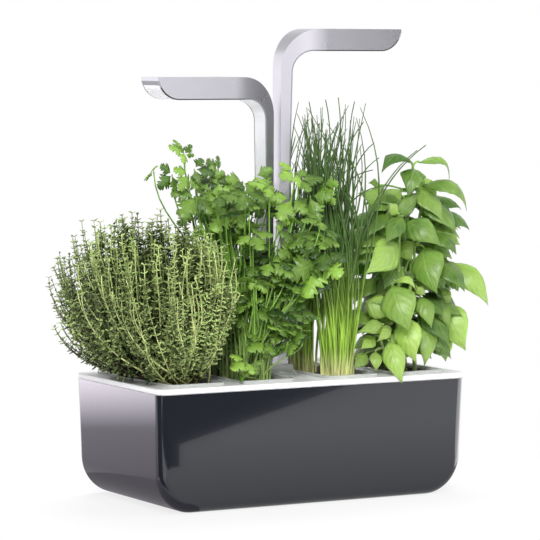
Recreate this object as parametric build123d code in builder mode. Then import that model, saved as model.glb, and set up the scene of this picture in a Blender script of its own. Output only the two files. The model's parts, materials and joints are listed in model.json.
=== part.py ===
from build123d import *
import os
from math import acos, asin, atan, cos, degrees, radians, sin, sqrt, tan

os.makedirs("parts", exist_ok=True)

# Countertop hydroponic garden, in millimetres.
# The origin is the centre of the tub's underside. +X is right, +Y is back, +Z is up.

# ---- Layout of the deck: four long slots, two on each side of the mast strip ----
SLOT_WIDTH = 60.0
SLOT_LENGTH = 154.0
SLOT_CORNER = 10.0
SLOT_GAP = 14.0
MAST_STRIP = 31.0
END_MARGIN = 15.5
FRONT_MARGIN = 9.0
TUB_WIDTH = MAST_STRIP + 4 * SLOT_WIDTH + 2 * SLOT_GAP + 2 * END_MARGIN
TUB_DEPTH = SLOT_LENGTH + 2 * FRONT_MARGIN
INNER_SLOT_X = MAST_STRIP / 2 + SLOT_WIDTH / 2
OUTER_SLOT_X = INNER_SLOT_X + SLOT_WIDTH + SLOT_GAP

# ---- Tub ----
TUB_HEIGHT = 110.0
TUB_DRAFT = 1.7  # degrees, each wall leans in towards the bottom
END_RADIUS = 37.0
EDGE_RADIUS = 10.0
SHELL_WALL = 2.5
TANK_WALL = 1.8
TANK_GAP = 0.4
TANK_TOP_GAP = 0.5
CUT = 1.0  # how far a cutting solid runs past the face it opens

# ---- Deck ----
DECK_EDGE = 5.5
DECK_PLATE = 2.5
DECK_RIM = 3.0
DECK_ROUND = 1.2
REVEAL = 0.8  # shadow line between the deck and the tub's rim
SKIRT_WALL = 1.5
SKIRT_DEPTH = 6.0
SKIRT_GAP = 0.6
DECK_TOP = TUB_HEIGHT + DECK_EDGE
DECK_UNDER = DECK_TOP - DECK_PLATE
BOSS_WIDTH = 29.0
BOSS_DEPTH = 30.0
BOSS_HEIGHT = 8.5
BOSS_WALL_HEIGHT = 3.0
FOOT_REACH = 16.0
BOSS_ROUND = 1.0

# ---- Pods ----
TRAY_WALL = 1.4
TRAY_LIP = 2.5
TRAY_LIP_WIDTH = 2.2
TRAY_LIP_ROUND = 1.0
TRAY_CLEARANCE = 0.3
TRAY_BOTTOM = 50.0
NOTCH_LENGTH = 7.0
NOTCH_DEPTH = 1.2
BLOCK_CLEARANCE = 0.3
BLOCK_TOP_DROP = 5.5  # growing block's top below the tray's lip
WICK_WIDTH = 40.0
WICK_THICKNESS = 2.0
WICK_CLEARANCE = 0.3
WICK_END = 6.0

# ---- Lamp arms: x runs from the arm's outer face, z down from its top ----
POST_GAP = 7.6
POST_ENGAGED = 26.5  # of the right post, held in the housing when its lamp is up
HEAD_LENGTH = 127.5
HEAD_HEIGHT = 21.0
HEAD_DEPTH = 34.0
OUTER_BEND = 37.0
INNER_BEND = 20.0
POST_TOP_WIDTH = 10.6
POST_LOW_WIDTH = 8.8
POST_TAPER_END = 128.0
OUTER_FACE_DEPTH = 16.0
INNER_FACE_DEPTH = 23.0
NOSE_RADIUS = 23.0
NOSE_LIP = 3.5
ARM_WALL = 1.4
FRAME_HEIGHT = 1.1
FRAME_INSET = 0.05  # the frame lies just inside the shell's front and back
DIFFUSER_WALL = 1.6
LAMP_FIT = 0.1
CAP_HEIGHT = 6.0
ARM_ROUND = 0.7
RIGHT_LAMP_TOP = 440.5
LEFT_LAMP_DROP = 45.5
MAST_Y = -1.0

# ---- Lamp electronics ----
LED_BOARD_LENGTH = 74.0
LED_BOARD_DEPTH = 25.0
LED_BOARD_THICKNESS = 1.6
LED_BOARD_START = 36.0
LED_BOARD_DROP = 7.0
LED_SIZE = 5.0
LED_HEIGHT = 1.0
LED_COLUMNS = 6
LED_PITCH_X = 12.0
LED_PITCH_Y = 16.0
LAMP_BOSS_RADIUS = 3.0
LAMP_SCREW_SPAN = 48.0
SCREW_RADIUS = 1.4
SCREW_HEAD_RADIUS = 2.7
SCREW_HEAD_HEIGHT = 2.0
SCREW_BITE = 4.0

# ---- Mast housing below the deck ----
HOUSING_WIDTH = 33.6
HOUSING_DEPTH = 31.0
HOUSING_BOTTOM = 5.0
HOUSING_FLOOR = 1.8
GUIDE_CLEARANCE = 0.3
BOSS_CLEARANCE = 0.4
GASKET = 1.0
GASKET_BORDER = 1.6
DRY_TRAY_LENGTH = 32.0
DRY_TRAY_HEIGHT = 20.0
DRY_TRAY_WALL = 1.5
BOARD_LENGTH = 26.0
BOARD_WIDTH = 27.0
BOARD_THICKNESS = 1.6
BOARD_STANDOFF = 4.5
BOARD_SCREW_SPAN = 19.0
LUG_LENGTH = 8.0
LUG_WIDTH = 9.0
LUG_THICKNESS = 3.0
LUG_DROP = 5.0
SHOE_WIDTH = 12.0
SHOE_HEIGHT = 14.0
SHOE_DROP = 4.0
SHOE_THICKNESS = 2.6
SHOE_CLEARANCE = 0.05

# ---- Light button and indicator ----
BUTTON_RADIUS = 4.0
BUTTON_CLEARANCE = 0.3
BUTTON_PROUD = 1.6
BUTTON_TRAVEL = 0.8
BUTTON_FLANGE = 1.4
BUTTON_FLANGE_HEIGHT = 1.0
BUTTON_STOP_GAP = 0.3
SWITCH_SIZE = 6.0
SWITCH_HEIGHT = 3.4
INDICATOR_RADIUS = 1.4
INDICATOR_FLANGE = 0.8
INDICATOR_DEPTH = 4.0
INDICATOR_PROUD = 0.4
INDICATOR_INSET = 9.5
INDICATOR_Y = -60.0

# ---- Water level float ----
FLOAT_Y = -48.0
ROD_RADIUS = 2.5
ROD_FLANGE = 7.0
ROD_FLANGE_HEIGHT = 2.0
ROD_END = 6.5
STOP_RADIUS = 5.5
STOP_HEIGHT = 2.0
STOP_UP = 2.0
FLOAT_RADIUS = 12.0
FLOAT_HEIGHT = 15.0
FLOAT_CLEARANCE = 0.3

# ---- Filler flap ----
FILLER_WIDTH = 20.0
FILLER_LENGTH = 16.0
FILLER_Y = 63.5
FLAP_OVERLAP = 2.0
FLAP_THICKNESS = 2.0
FLAP_CLEARANCE = 0.3
FLAP_TAB = 3.0
HINGE_RADIUS = 1.9
PIN_RADIUS = 1.0
PIN_FIT = 0.05
PIN_SEAT_FIT = 0.02
EAR_WIDTH = 1.8

# ---- Power inlet ----
INLET_RADIUS = 4.0
INLET_BORE = 2.9
INLET_BORE_DEPTH = 8.0
INLET_PIN = 1.0
INLET_BODY = 11.0
INLET_BODY_DEPTH = 7.0
INLET_SEAT = 0.18  # the inlet's flat front stands off the leaning wall
INLET_DROP = 14.0
INLET_FIT = 0.1
POCKET_CLEARANCE = 1.0

# ---- Derived places ----
SHELL_LEAN = tan(radians(TUB_DRAFT))
BOSS_TOP = DECK_TOP + BOSS_HEIGHT
TRAY_TOP = DECK_TOP + TRAY_LIP
BLOCK_TOP = TRAY_TOP - BLOCK_TOP_DROP
GASKET_TOP = DECK_UNDER
HOUSING_TOP = GASKET_TOP - GASKET
POST_BOTTOM_DEPTH = RIGHT_LAMP_TOP - HOUSING_TOP + POST_ENGAGED
LEFT_LAMP_TOP = RIGHT_LAMP_TOP - LEFT_LAMP_DROP
DRY_FLOOR = HOUSING_TOP - DRY_TRAY_HEIGHT + DRY_TRAY_WALL
HOUSING_BACK = MAST_Y + HOUSING_DEPTH / 2
HOUSING_FRONT = MAST_Y - HOUSING_DEPTH / 2
DRY_BACK = HOUSING_BACK + DRY_TRAY_LENGTH
LUG_TOP = DECK_UNDER - LUG_DROP
FRONT_LUG_Y = HOUSING_FRONT - LUG_LENGTH / 2
BACK_LUG_Y = DRY_BACK + LUG_LENGTH / 2
BOARD_Y = (HOUSING_BACK + DRY_TRAY_WALL + DRY_BACK - DRY_TRAY_WALL) / 2
BOARD_Z = DRY_FLOOR + BOARD_STANDOFF
PLAN_SLOPE = (INNER_FACE_DEPTH - OUTER_FACE_DEPTH) / 2 / POST_TOP_WIDTH
HINGE_Y = FILLER_Y + FILLER_LENGTH / 2 + FLAP_OVERLAP + HINGE_RADIUS
HINGE_Z = DECK_TOP + FLAP_CLEARANCE + HINGE_RADIUS
FLAP_WIDTH = FILLER_WIDTH + 2 * FLAP_OVERLAP
INLET_Z = TUB_HEIGHT - INLET_DROP
INDICATOR_X = TUB_WIDTH / 2 - INDICATOR_INSET


def tub_block(inset, floor_z, top_z):
    """The tub's own closed form, set in by inset from its ends, front and back."""

    def half(size, z):
        return size / 2 - inset - SHELL_LEAN * (TUB_HEIGHT - z)

    with BuildPart() as block:
        with BuildSketch(Plane.XZ):
            with BuildLine():
                Polyline(
                    (-half(TUB_WIDTH, top_z), top_z),
                    (-half(TUB_WIDTH, floor_z), floor_z),
                    (half(TUB_WIDTH, floor_z), floor_z),
                    (half(TUB_WIDTH, top_z), top_z),
                    close=True,
                )
            outline = make_face()
            fillet(outline.vertices().group_by(Axis.Y)[0], END_RADIUS - inset)
        extrude(amount=TUB_DEPTH, both=True)
        with BuildSketch(Plane.YZ):
            with BuildLine():
                Polyline(
                    (-half(TUB_DEPTH, top_z), top_z),
                    (-half(TUB_DEPTH, floor_z), floor_z),
                    (half(TUB_DEPTH, floor_z), floor_z),
                    (half(TUB_DEPTH, top_z), top_z),
                    close=True,
                )
            make_face()
        extrude(amount=TUB_WIDTH, both=True, mode=Mode.INTERSECT)
        faces = block.faces().sort_by(Axis.Y)
        rims = faces[0].edges() + faces[-1].edges()
        fillet([edge for edge in rims if edge.center().Z < top_z - CUT / 2], EDGE_RADIUS - inset)
    return block.part


def slot_outline(x, shrink):
    """A slot's rounded outline, set in by shrink."""
    with Locations((x, 0)):
        RectangleRounded(SLOT_WIDTH - 2 * shrink, SLOT_LENGTH - 2 * shrink, SLOT_CORNER - shrink)


# ================= Tub =================

with BuildPart() as outer_shell:
    add(tub_block(0, 0, TUB_HEIGHT))
    add(tub_block(SHELL_WALL, SHELL_WALL, TUB_HEIGHT + CUT), mode=Mode.SUBTRACT)
    with BuildSketch(Plane.XZ.offset(-TUB_DEPTH / 2 - CUT)):
        with Locations((0, INLET_Z)):
            Circle(INLET_RADIUS + INLET_FIT)
    extrude(amount=4 * SHELL_WALL, mode=Mode.SUBTRACT)
outer_shell.part.label = "outer_shell"
export_step(outer_shell.part, "parts/outer_shell.step")

TANK_INSET = SHELL_WALL + TANK_GAP
TANK_TOP = TUB_HEIGHT - TANK_TOP_GAP
TANK_BACK = TUB_DEPTH / 2 - TANK_INSET
POCKET_WIDTH = INLET_BODY + 2 * POCKET_CLEARANCE + 2 * TANK_WALL
POCKET_DEPTH = INLET_BODY_DEPTH + POCKET_CLEARANCE + TANK_WALL
POCKET_BOTTOM = INLET_Z - INLET_BODY / 2 - POCKET_CLEARANCE - TANK_WALL

with BuildPart() as water_tank:
    add(tub_block(TANK_INSET, SHELL_WALL, TANK_TOP))
    add(tub_block(TANK_INSET + TANK_WALL, SHELL_WALL + TANK_WALL, TANK_TOP + CUT), mode=Mode.SUBTRACT)
    # Dry pocket at the back: its walls, then the space for the inlet.
    with BuildSketch(Plane.XY.offset(POCKET_BOTTOM)):
        with Locations((0, TANK_BACK - TANK_WALL / 2 - POCKET_DEPTH / 2)):
            Rectangle(POCKET_WIDTH, POCKET_DEPTH)
    extrude(amount=TANK_TOP - POCKET_BOTTOM)
    with BuildSketch(Plane.XY.offset(POCKET_BOTTOM + TANK_WALL)):
        with Locations((0, TANK_BACK + TANK_WALL - POCKET_DEPTH / 2)):
            Rectangle(POCKET_WIDTH - 2 * TANK_WALL, POCKET_DEPTH + TANK_WALL)
    extrude(amount=TUB_HEIGHT, mode=Mode.SUBTRACT)
water_tank.part.label = "water_tank"
export_step(water_tank.part, "parts/water_tank.step")

with BuildPart() as power_inlet:
    INLET_FACE = TUB_DEPTH / 2 - SHELL_LEAN * INLET_DROP
    with BuildSketch(Plane.XZ.offset(-INLET_FACE)):
        with Locations((0, INLET_Z)):
            Circle(INLET_RADIUS)
    extrude(amount=SHELL_WALL + CUT)
    with BuildSketch(Plane.XZ.offset(-INLET_FACE + SHELL_WALL + INLET_SEAT)):
        with Locations((0, INLET_Z)):
            Rectangle(INLET_BODY, INLET_BODY)
    extrude(amount=INLET_BODY_DEPTH)
    with BuildSketch(Plane.XZ.offset(-INLET_FACE)):
        with Locations((0, INLET_Z)):
            Circle(INLET_BORE)
            Circle(INLET_PIN, mode=Mode.SUBTRACT)
    extrude(amount=INLET_BORE_DEPTH, mode=Mode.SUBTRACT)
power_inlet.part.label = "power_inlet"
export_step(power_inlet.part, "parts/power_inlet.step")


# ================= Lamp arms: shared profiles =================


def arm_outline(side, top, outer=0.0, inner=0.0, low=0.0):
    """Front view of an arm, set in by outer on its outer faces and tip, by inner on its inner faces."""

    def at(x, z):
        return (side * (POST_GAP / 2 + x), top + z)

    def around(centre_x, centre_z, radius, start, end):
        steps = (start, (start + end) / 2, end)
        points = [(centre_x + radius * cos(radians(a)), centre_z + radius * sin(radians(a))) for a in steps]
        return ThreePointArc(*[at(x, z) for x, z in points])

    bend = OUTER_BEND - outer
    nose = NOSE_RADIUS - inner
    nose_z = NOSE_RADIUS - HEAD_HEIGHT
    lip_drop = NOSE_LIP + nose_z
    nose_x = HEAD_LENGTH - sqrt(NOSE_RADIUS**2 - lip_drop**2)
    tip_x = HEAD_LENGTH - outer
    lip_x = nose_x + sqrt(nose**2 - lip_drop**2)
    stepped = inner > outer
    tip_angle = -asin(lip_drop / nose) if stepped else -acos((tip_x - nose_x) / nose)
    tip_z = nose_z + nose * sin(tip_angle)
    hollow = INNER_BEND + inner
    knee_x = POST_TOP_WIDTH + INNER_BEND
    knee_z = -HEAD_HEIGHT - INNER_BEND
    bottom = -POST_BOTTOM_DEPTH + low
    with BuildLine() as line:
        Line(at(outer, bottom), at(outer, -OUTER_BEND))
        around(OUTER_BEND, -OUTER_BEND, bend, 180, 90)
        Line(at(OUTER_BEND, -outer), at(tip_x, -outer))
        Line(at(tip_x, -outer), at(tip_x, tip_z))
        if stepped:
            Line(at(tip_x, tip_z), at(lip_x, tip_z))
        around(nose_x, nose_z, nose, degrees(tip_angle), -90)
        Line(at(nose_x, -HEAD_HEIGHT + inner), at(knee_x, -HEAD_HEIGHT + inner))
        around(knee_x, knee_z, hollow, 90, 180)
        Polyline(
            at(POST_TOP_WIDTH - inner, knee_z),
            at(POST_LOW_WIDTH - inner, -POST_TAPER_END),
            at(POST_LOW_WIDTH - inner, bottom),
            at(outer, bottom),
        )
    return line.line


def arm_plan(side, inset=0.0):
    """Plan view of an arm: narrow at its outer face, widening to the full depth of the head."""
    narrow = OUTER_FACE_DEPTH / 2 - inset
    wide = HEAD_DEPTH / 2 - inset
    flare = INNER_FACE_DEPTH / 2 - inset
    turn = atan(PLAN_SLOPE)
    radius = (wide - flare) / (1 - cos(turn))
    end_x = POST_TOP_WIDTH + radius * sin(turn)
    middle = (end_x - radius * sin(turn / 2), wide - radius * (1 - cos(turn / 2)))

    def at(x, y):
        return (side * (POST_GAP / 2 + x), MAST_Y + y)

    with BuildLine() as line:
        for half in (-1, 1):
            Line(at(0, half * narrow), at(POST_TOP_WIDTH, half * flare))
            ThreePointArc(
                at(POST_TOP_WIDTH, half * flare),
                at(middle[0], half * middle[1]),
                at(end_x, half * wide),
            )
            Line(at(end_x, half * wide), at(HEAD_LENGTH + CUT, half * wide))
        Line(at(0, -narrow), at(0, narrow))
        Line(at(HEAD_LENGTH + CUT, -wide), at(HEAD_LENGTH + CUT, wide))
    return line.line


def arm_block(side, top, outer=0.0, inner=0.0, plan=0.0, low=0.0):
    """Closed solid of an arm, set in on its outer faces, inner faces, front and back."""
    with BuildPart() as block:
        with BuildSketch(Plane.XZ.offset(-MAST_Y)):
            with BuildLine():
                add(arm_outline(side, top, outer, inner, low))
            make_face()
        extrude(amount=HEAD_DEPTH, both=True)
        with BuildSketch(Plane.XY.offset(top - POST_BOTTOM_DEPTH - CUT)):
            with BuildLine():
                add(arm_plan(side, plan))
            make_face()
        extrude(amount=POST_BOTTOM_DEPTH + 2 * CUT, mode=Mode.INTERSECT)
    return block.part


def post_section(side, grow):
    """Plan section of the slim length of a post, grown by a clearance."""
    depth_in = OUTER_FACE_DEPTH / 2 + PLAN_SLOPE * POST_LOW_WIDTH
    x_out = side * POST_GAP / 2
    x_in = side * (POST_GAP / 2 + POST_LOW_WIDTH)
    with BuildSketch() as section:
        with BuildLine():
            Polyline(
                (x_out, MAST_Y - OUTER_FACE_DEPTH / 2),
                (x_in, MAST_Y - depth_in),
                (x_in, MAST_Y + depth_in),
                (x_out, MAST_Y + OUTER_FACE_DEPTH / 2),
                close=True,
            )
        make_face()
        offset(amount=grow, kind=Kind.INTERSECTION)
    return section.sketch


# ================= Deck =================

SLOT_CENTRES = (-OUTER_SLOT_X, -INNER_SLOT_X, INNER_SLOT_X, OUTER_SLOT_X)
SKIRT_OUT = TANK_INSET + TANK_WALL + SKIRT_GAP
DECK_SCREW_RADIUS = 3.5

with BuildPart() as deck:
    with BuildSketch(Plane.XY.offset(TUB_HEIGHT + REVEAL)):
        RectangleRounded(TUB_WIDTH, TUB_DEPTH, EDGE_RADIUS)
    extrude(amount=DECK_EDGE - REVEAL)
    fillet(deck.edges().group_by(Axis.Z)[-1], DECK_ROUND)
    with BuildSketch(Plane.XY.offset(TUB_HEIGHT)):
        RectangleRounded(TUB_WIDTH - 2 * REVEAL, TUB_DEPTH - 2 * REVEAL, EDGE_RADIUS - REVEAL)
    extrude(amount=REVEAL)
    with BuildSketch(Plane.XY.offset(TUB_HEIGHT)):
        RectangleRounded(TUB_WIDTH - 2 * DECK_RIM, TUB_DEPTH - 2 * DECK_RIM, EDGE_RADIUS - DECK_RIM)
    extrude(amount=DECK_EDGE - DECK_PLATE, mode=Mode.SUBTRACT)
    # Skirt that locates the deck inside the tank.
    with BuildSketch(Plane.XY.offset(DECK_UNDER)):
        RectangleRounded(TUB_WIDTH - 2 * SKIRT_OUT, TUB_DEPTH - 2 * SKIRT_OUT, EDGE_RADIUS - SKIRT_OUT)
        offset(amount=-SKIRT_WALL, mode=Mode.SUBTRACT)
        with Locations((0, TANK_BACK - POCKET_DEPTH / 2)):
            Rectangle(POCKET_WIDTH + 2 * SKIRT_GAP, POCKET_DEPTH + 2 * TANK_INSET, mode=Mode.SUBTRACT)
    extrude(amount=-(DECK_EDGE - DECK_PLATE + SKIRT_DEPTH))
    # Raised boss with a concave foot at its front and back.
    with BuildSketch(Plane.YZ):
        with BuildLine():
            wall_z = BOSS_TOP - BOSS_WALL_HEIGHT
            for sign in (-1, 1):
                face_y = MAST_Y + sign * BOSS_DEPTH / 2
                toe_y = face_y + sign * FOOT_REACH
                Line((face_y, BOSS_TOP), (face_y, wall_z))
                EllipticalCenterArc(
                    (toe_y, wall_z),
                    FOOT_REACH,
                    wall_z - DECK_TOP,
                    start_angle=270,
                    arc_size=-sign * 90,
                )
                Line((toe_y, DECK_TOP), (toe_y, DECK_UNDER))
            Line((MAST_Y - BOSS_DEPTH / 2, BOSS_TOP), (MAST_Y + BOSS_DEPTH / 2, BOSS_TOP))
            Line(
                (MAST_Y - BOSS_DEPTH / 2 - FOOT_REACH, DECK_UNDER),
                (MAST_Y + BOSS_DEPTH / 2 + FOOT_REACH, DECK_UNDER),
            )
        make_face()
    extrude(amount=BOSS_WIDTH / 2, both=True)
    fillet(deck.faces().group_by(Axis.Z)[-1].edges(), BOSS_ROUND)
    # Screw bosses under the plate.
    with BuildSketch(Plane.XY.offset(LUG_TOP)):
        with Locations((0, FRONT_LUG_Y), (0, BACK_LUG_Y)):
            Circle(DECK_SCREW_RADIUS)
    extrude(amount=LUG_DROP)
    with BuildSketch(Plane.XY.offset(LUG_TOP)):
        with Locations((0, FRONT_LUG_Y), (0, BACK_LUG_Y)):
            Circle(SCREW_RADIUS)
    extrude(amount=SCREW_BITE, mode=Mode.SUBTRACT)
    # Openings through the plate: pods, posts, filler, button and indicator.
    with BuildSketch(Plane.XY.offset(DECK_UNDER - CUT)):
        for slot_x in SLOT_CENTRES:
            slot_outline(slot_x, TRAY_LIP_WIDTH - TRAY_CLEARANCE)
        with Locations((0, FILLER_Y)):
            Rectangle(FILLER_WIDTH, FILLER_LENGTH)
        with Locations((0, BOARD_Y)):
            Circle(BUTTON_RADIUS + BUTTON_CLEARANCE)
        with Locations((INDICATOR_X, INDICATOR_Y)):
            Circle(INDICATOR_RADIUS + INLET_FIT)
    extrude(amount=DECK_PLATE + 2 * CUT + FOOT_REACH, mode=Mode.SUBTRACT)
    with BuildSketch(Plane.XY.offset(DECK_UNDER - CUT)):
        for side in (-1, 1):
            add(post_section(side, BOSS_CLEARANCE))
    extrude(amount=DECK_PLATE + BOSS_HEIGHT + 2 * CUT, mode=Mode.SUBTRACT)
    # Ears for the filler flap's pin.
    for side in (-1, 1):
        with BuildSketch(Plane.YZ.offset(side * (FLAP_WIDTH / 2 + FLAP_CLEARANCE))):
            with Locations((HINGE_Y, HINGE_Z)):
                Circle(HINGE_RADIUS)
            with Locations((HINGE_Y, (HINGE_Z + DECK_UNDER) / 2)):
                Rectangle(2 * HINGE_RADIUS, HINGE_Z - DECK_UNDER)
            with Locations((HINGE_Y, HINGE_Z)):
                Circle(PIN_RADIUS + PIN_SEAT_FIT, mode=Mode.SUBTRACT)
        extrude(amount=side * EAR_WIDTH)
deck.part.label = "deck"
export_step(deck.part, "parts/deck.step")

# ================= Filler flap =================

with BuildPart() as filler_flap:
    front_y = FILLER_Y - FILLER_LENGTH / 2 - FLAP_OVERLAP
    with BuildSketch(Plane.XY.offset(DECK_TOP + FLAP_CLEARANCE)):
        with Locations((0, (front_y + HINGE_Y) / 2)):
            Rectangle(FLAP_WIDTH, HINGE_Y - front_y)
        with Locations((0, front_y)):
            Circle(FLAP_TAB)
    extrude(amount=FLAP_THICKNESS)
    with BuildSketch(Plane.YZ.offset(-FLAP_WIDTH / 2)):
        with Locations((HINGE_Y, HINGE_Z)):
            Circle(HINGE_RADIUS)
    extrude(amount=FLAP_WIDTH)
    with BuildSketch(Plane.YZ.offset(-FLAP_WIDTH / 2 - CUT)):
        with Locations((HINGE_Y, HINGE_Z)):
            Circle(PIN_RADIUS + PIN_FIT)
    extrude(amount=FLAP_WIDTH + 2 * CUT, mode=Mode.SUBTRACT)
filler_flap.part.label = "filler_flap"
export_step(filler_flap.part, "parts/filler_flap.step")

with BuildPart() as flap_pin:
    pin_half = FLAP_WIDTH / 2 + FLAP_CLEARANCE + EAR_WIDTH
    with BuildSketch(Plane.YZ.offset(-pin_half)):
        with Locations((HINGE_Y, HINGE_Z)):
            Circle(PIN_RADIUS)
    extrude(amount=2 * pin_half)
flap_pin.part.label = "flap_pin"
export_step(flap_pin.part, "parts/flap_pin.step")

# ================= Pods =================

PLANT_NAMES = ("thyme", "parsley", "chives", "basil")
BODY_INSET = TRAY_LIP_WIDTH
HOLLOW_INSET = BODY_INSET + TRAY_WALL

for plant_name, slot_x in zip(PLANT_NAMES, SLOT_CENTRES):
    with BuildPart() as pod_tray:
        with BuildSketch(Plane.XY.offset(DECK_TOP)):
            slot_outline(slot_x, 0)
        extrude(amount=TRAY_LIP)
        fillet(pod_tray.edges().group_by(Axis.Z)[-1], TRAY_LIP_ROUND)
        with BuildSketch(Plane.XY.offset(TRAY_BOTTOM)):
            slot_outline(slot_x, BODY_INSET)
        extrude(amount=DECK_TOP - TRAY_BOTTOM)
        with BuildSketch(Plane.XY.offset(TRAY_BOTTOM + TRAY_WALL)):
            slot_outline(slot_x, HOLLOW_INSET)
        extrude(amount=TRAY_TOP - TRAY_BOTTOM, mode=Mode.SUBTRACT)
        # Finger notches in the long sides of the lip, and the slit for the wick.
        with BuildSketch(Plane.XY.offset(TRAY_TOP - NOTCH_DEPTH)):
            with Locations((slot_x, 0)):
                Rectangle(SLOT_WIDTH + 2 * CUT, NOTCH_LENGTH)
        extrude(amount=NOTCH_DEPTH + CUT, mode=Mode.SUBTRACT)
        with BuildSketch(Plane.XY.offset(TRAY_BOTTOM - CUT)):
            with Locations((slot_x, 0)):
                Rectangle(WICK_THICKNESS + 2 * WICK_CLEARANCE, WICK_WIDTH + 2 * WICK_CLEARANCE)
        extrude(amount=TRAY_WALL + 2 * CUT, mode=Mode.SUBTRACT)
    pod_tray.part.label = f"{plant_name}_tray"
    export_step(pod_tray.part, f"parts/{plant_name}_tray.step")

    with BuildPart() as growing_block:
        with BuildSketch(Plane.XY.offset(TRAY_BOTTOM + TRAY_WALL)):
            slot_outline(slot_x, HOLLOW_INSET + BLOCK_CLEARANCE)
        extrude(amount=BLOCK_TOP - TRAY_BOTTOM - TRAY_WALL)
    growing_block.part.label = f"{plant_name}_growing_block"
    export_step(growing_block.part, f"parts/{plant_name}_growing_block.step")

with BuildPart() as wicks:
    with BuildSketch(Plane.XY.offset(WICK_END)):
        with Locations(*[(slot_x, 0) for slot_x in SLOT_CENTRES]):
            Rectangle(WICK_THICKNESS, WICK_WIDTH)
    extrude(amount=TRAY_BOTTOM + TRAY_WALL - WICK_END)
wicks.part.label = "wicks"
export_step(wicks.part, "parts/wicks.step")

# ================= Mast housing =================

with BuildPart() as mast_housing:
    with BuildSketch(Plane.XY.offset(HOUSING_BOTTOM)):
        with Locations((0, MAST_Y)):
            Rectangle(HOUSING_WIDTH, HOUSING_DEPTH)
    extrude(amount=HOUSING_TOP - HOUSING_BOTTOM)
    with BuildSketch(Plane.XY.offset(DRY_FLOOR - DRY_TRAY_WALL)):
        with Locations((0, HOUSING_BACK + DRY_TRAY_LENGTH / 2)):
            Rectangle(HOUSING_WIDTH, DRY_TRAY_LENGTH)
    extrude(amount=DRY_TRAY_HEIGHT)
    with BuildSketch(Plane.XY.offset(DRY_FLOOR)):
        with Locations((0, HOUSING_BACK + DRY_TRAY_LENGTH / 2)):
            Rectangle(HOUSING_WIDTH - 2 * DRY_TRAY_WALL, DRY_TRAY_LENGTH - 2 * DRY_TRAY_WALL)
    extrude(amount=DRY_TRAY_HEIGHT, mode=Mode.SUBTRACT)
    # Standoffs for the control board.
    with BuildSketch(Plane.XY.offset(DRY_FLOOR)):
        with Locations((-BOARD_SCREW_SPAN / 2, BOARD_Y), (BOARD_SCREW_SPAN / 2, BOARD_Y)):
            Circle(LAMP_BOSS_RADIUS)
            Circle(SCREW_RADIUS, mode=Mode.SUBTRACT)
    extrude(amount=BOARD_STANDOFF)
    # Channels for the two posts.
    with BuildSketch(Plane.XY.offset(HOUSING_BOTTOM + HOUSING_FLOOR)):
        for side in (-1, 1):
            add(post_section(side, GUIDE_CLEARANCE))
    extrude(amount=HOUSING_TOP, mode=Mode.SUBTRACT)
    # Pockets for the friction shoes.
    with BuildSketch(Plane.XY.offset(HOUSING_TOP - SHOE_DROP - SHOE_HEIGHT)):
        with Locations((0, MAST_Y)):
            Rectangle(2 * (POST_GAP / 2 + POST_LOW_WIDTH + SHOE_CLEARANCE + SHOE_THICKNESS), SHOE_WIDTH)
            Rectangle(2 * (POST_GAP / 2 + POST_LOW_WIDTH), SHOE_WIDTH, mode=Mode.SUBTRACT)
    extrude(amount=SHOE_HEIGHT, mode=Mode.SUBTRACT)
    # Screw lugs.
    with BuildSketch(Plane.XY.offset(LUG_TOP - LUG_THICKNESS)):
        with Locations((0, FRONT_LUG_Y), (0, BACK_LUG_Y)):
            Rectangle(LUG_WIDTH, LUG_LENGTH)
            Circle(SCREW_RADIUS + INLET_FIT, mode=Mode.SUBTRACT)
    extrude(amount=LUG_THICKNESS)
mast_housing.part.label = "mast_housing"
export_step(mast_housing.part, "parts/mast_housing.step")

with BuildPart() as housing_gasket:
    with BuildSketch(Plane.XY.offset(HOUSING_TOP)):
        with Locations((0, (HOUSING_FRONT + DRY_BACK) / 2)):
            Rectangle(HOUSING_WIDTH, DRY_BACK - HOUSING_FRONT)
            Rectangle(
                HOUSING_WIDTH - 2 * GASKET_BORDER,
                DRY_BACK - HOUSING_FRONT - 2 * GASKET_BORDER,
                mode=Mode.SUBTRACT,
            )
    extrude(amount=GASKET)
housing_gasket.part.label = "housing_gasket"
export_step(housing_gasket.part, "parts/housing_gasket.step")

with BuildPart() as housing_screws:
    with BuildSketch(Plane.XY.offset(LUG_TOP - LUG_THICKNESS)):
        with Locations((0, FRONT_LUG_Y), (0, BACK_LUG_Y)):
            Circle(SCREW_RADIUS)
    extrude(amount=LUG_THICKNESS + SCREW_BITE - CUT)
    with BuildSketch(Plane.XY.offset(LUG_TOP - LUG_THICKNESS)):
        with Locations((0, FRONT_LUG_Y), (0, BACK_LUG_Y)):
            Circle(SCREW_HEAD_RADIUS)
    extrude(amount=-SCREW_HEAD_HEIGHT)
housing_screws.part.label = "housing_screws"
export_step(housing_screws.part, "parts/housing_screws.step")

for side, side_name in ((-1, "left"), (1, "right")):
    with BuildPart() as friction_shoe:
        with BuildSketch(Plane.XY.offset(HOUSING_TOP - SHOE_DROP - SHOE_HEIGHT)):
            with Locations(
                (side * (POST_GAP / 2 + POST_LOW_WIDTH + SHOE_CLEARANCE + SHOE_THICKNESS / 2), MAST_Y)
            ):
                Rectangle(SHOE_THICKNESS, SHOE_WIDTH)
        extrude(amount=SHOE_HEIGHT)
    friction_shoe.part.label = f"{side_name}_friction_shoe"
    export_step(friction_shoe.part, f"parts/{side_name}_friction_shoe.step")

# ================= Control board, button and indicator =================

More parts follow.
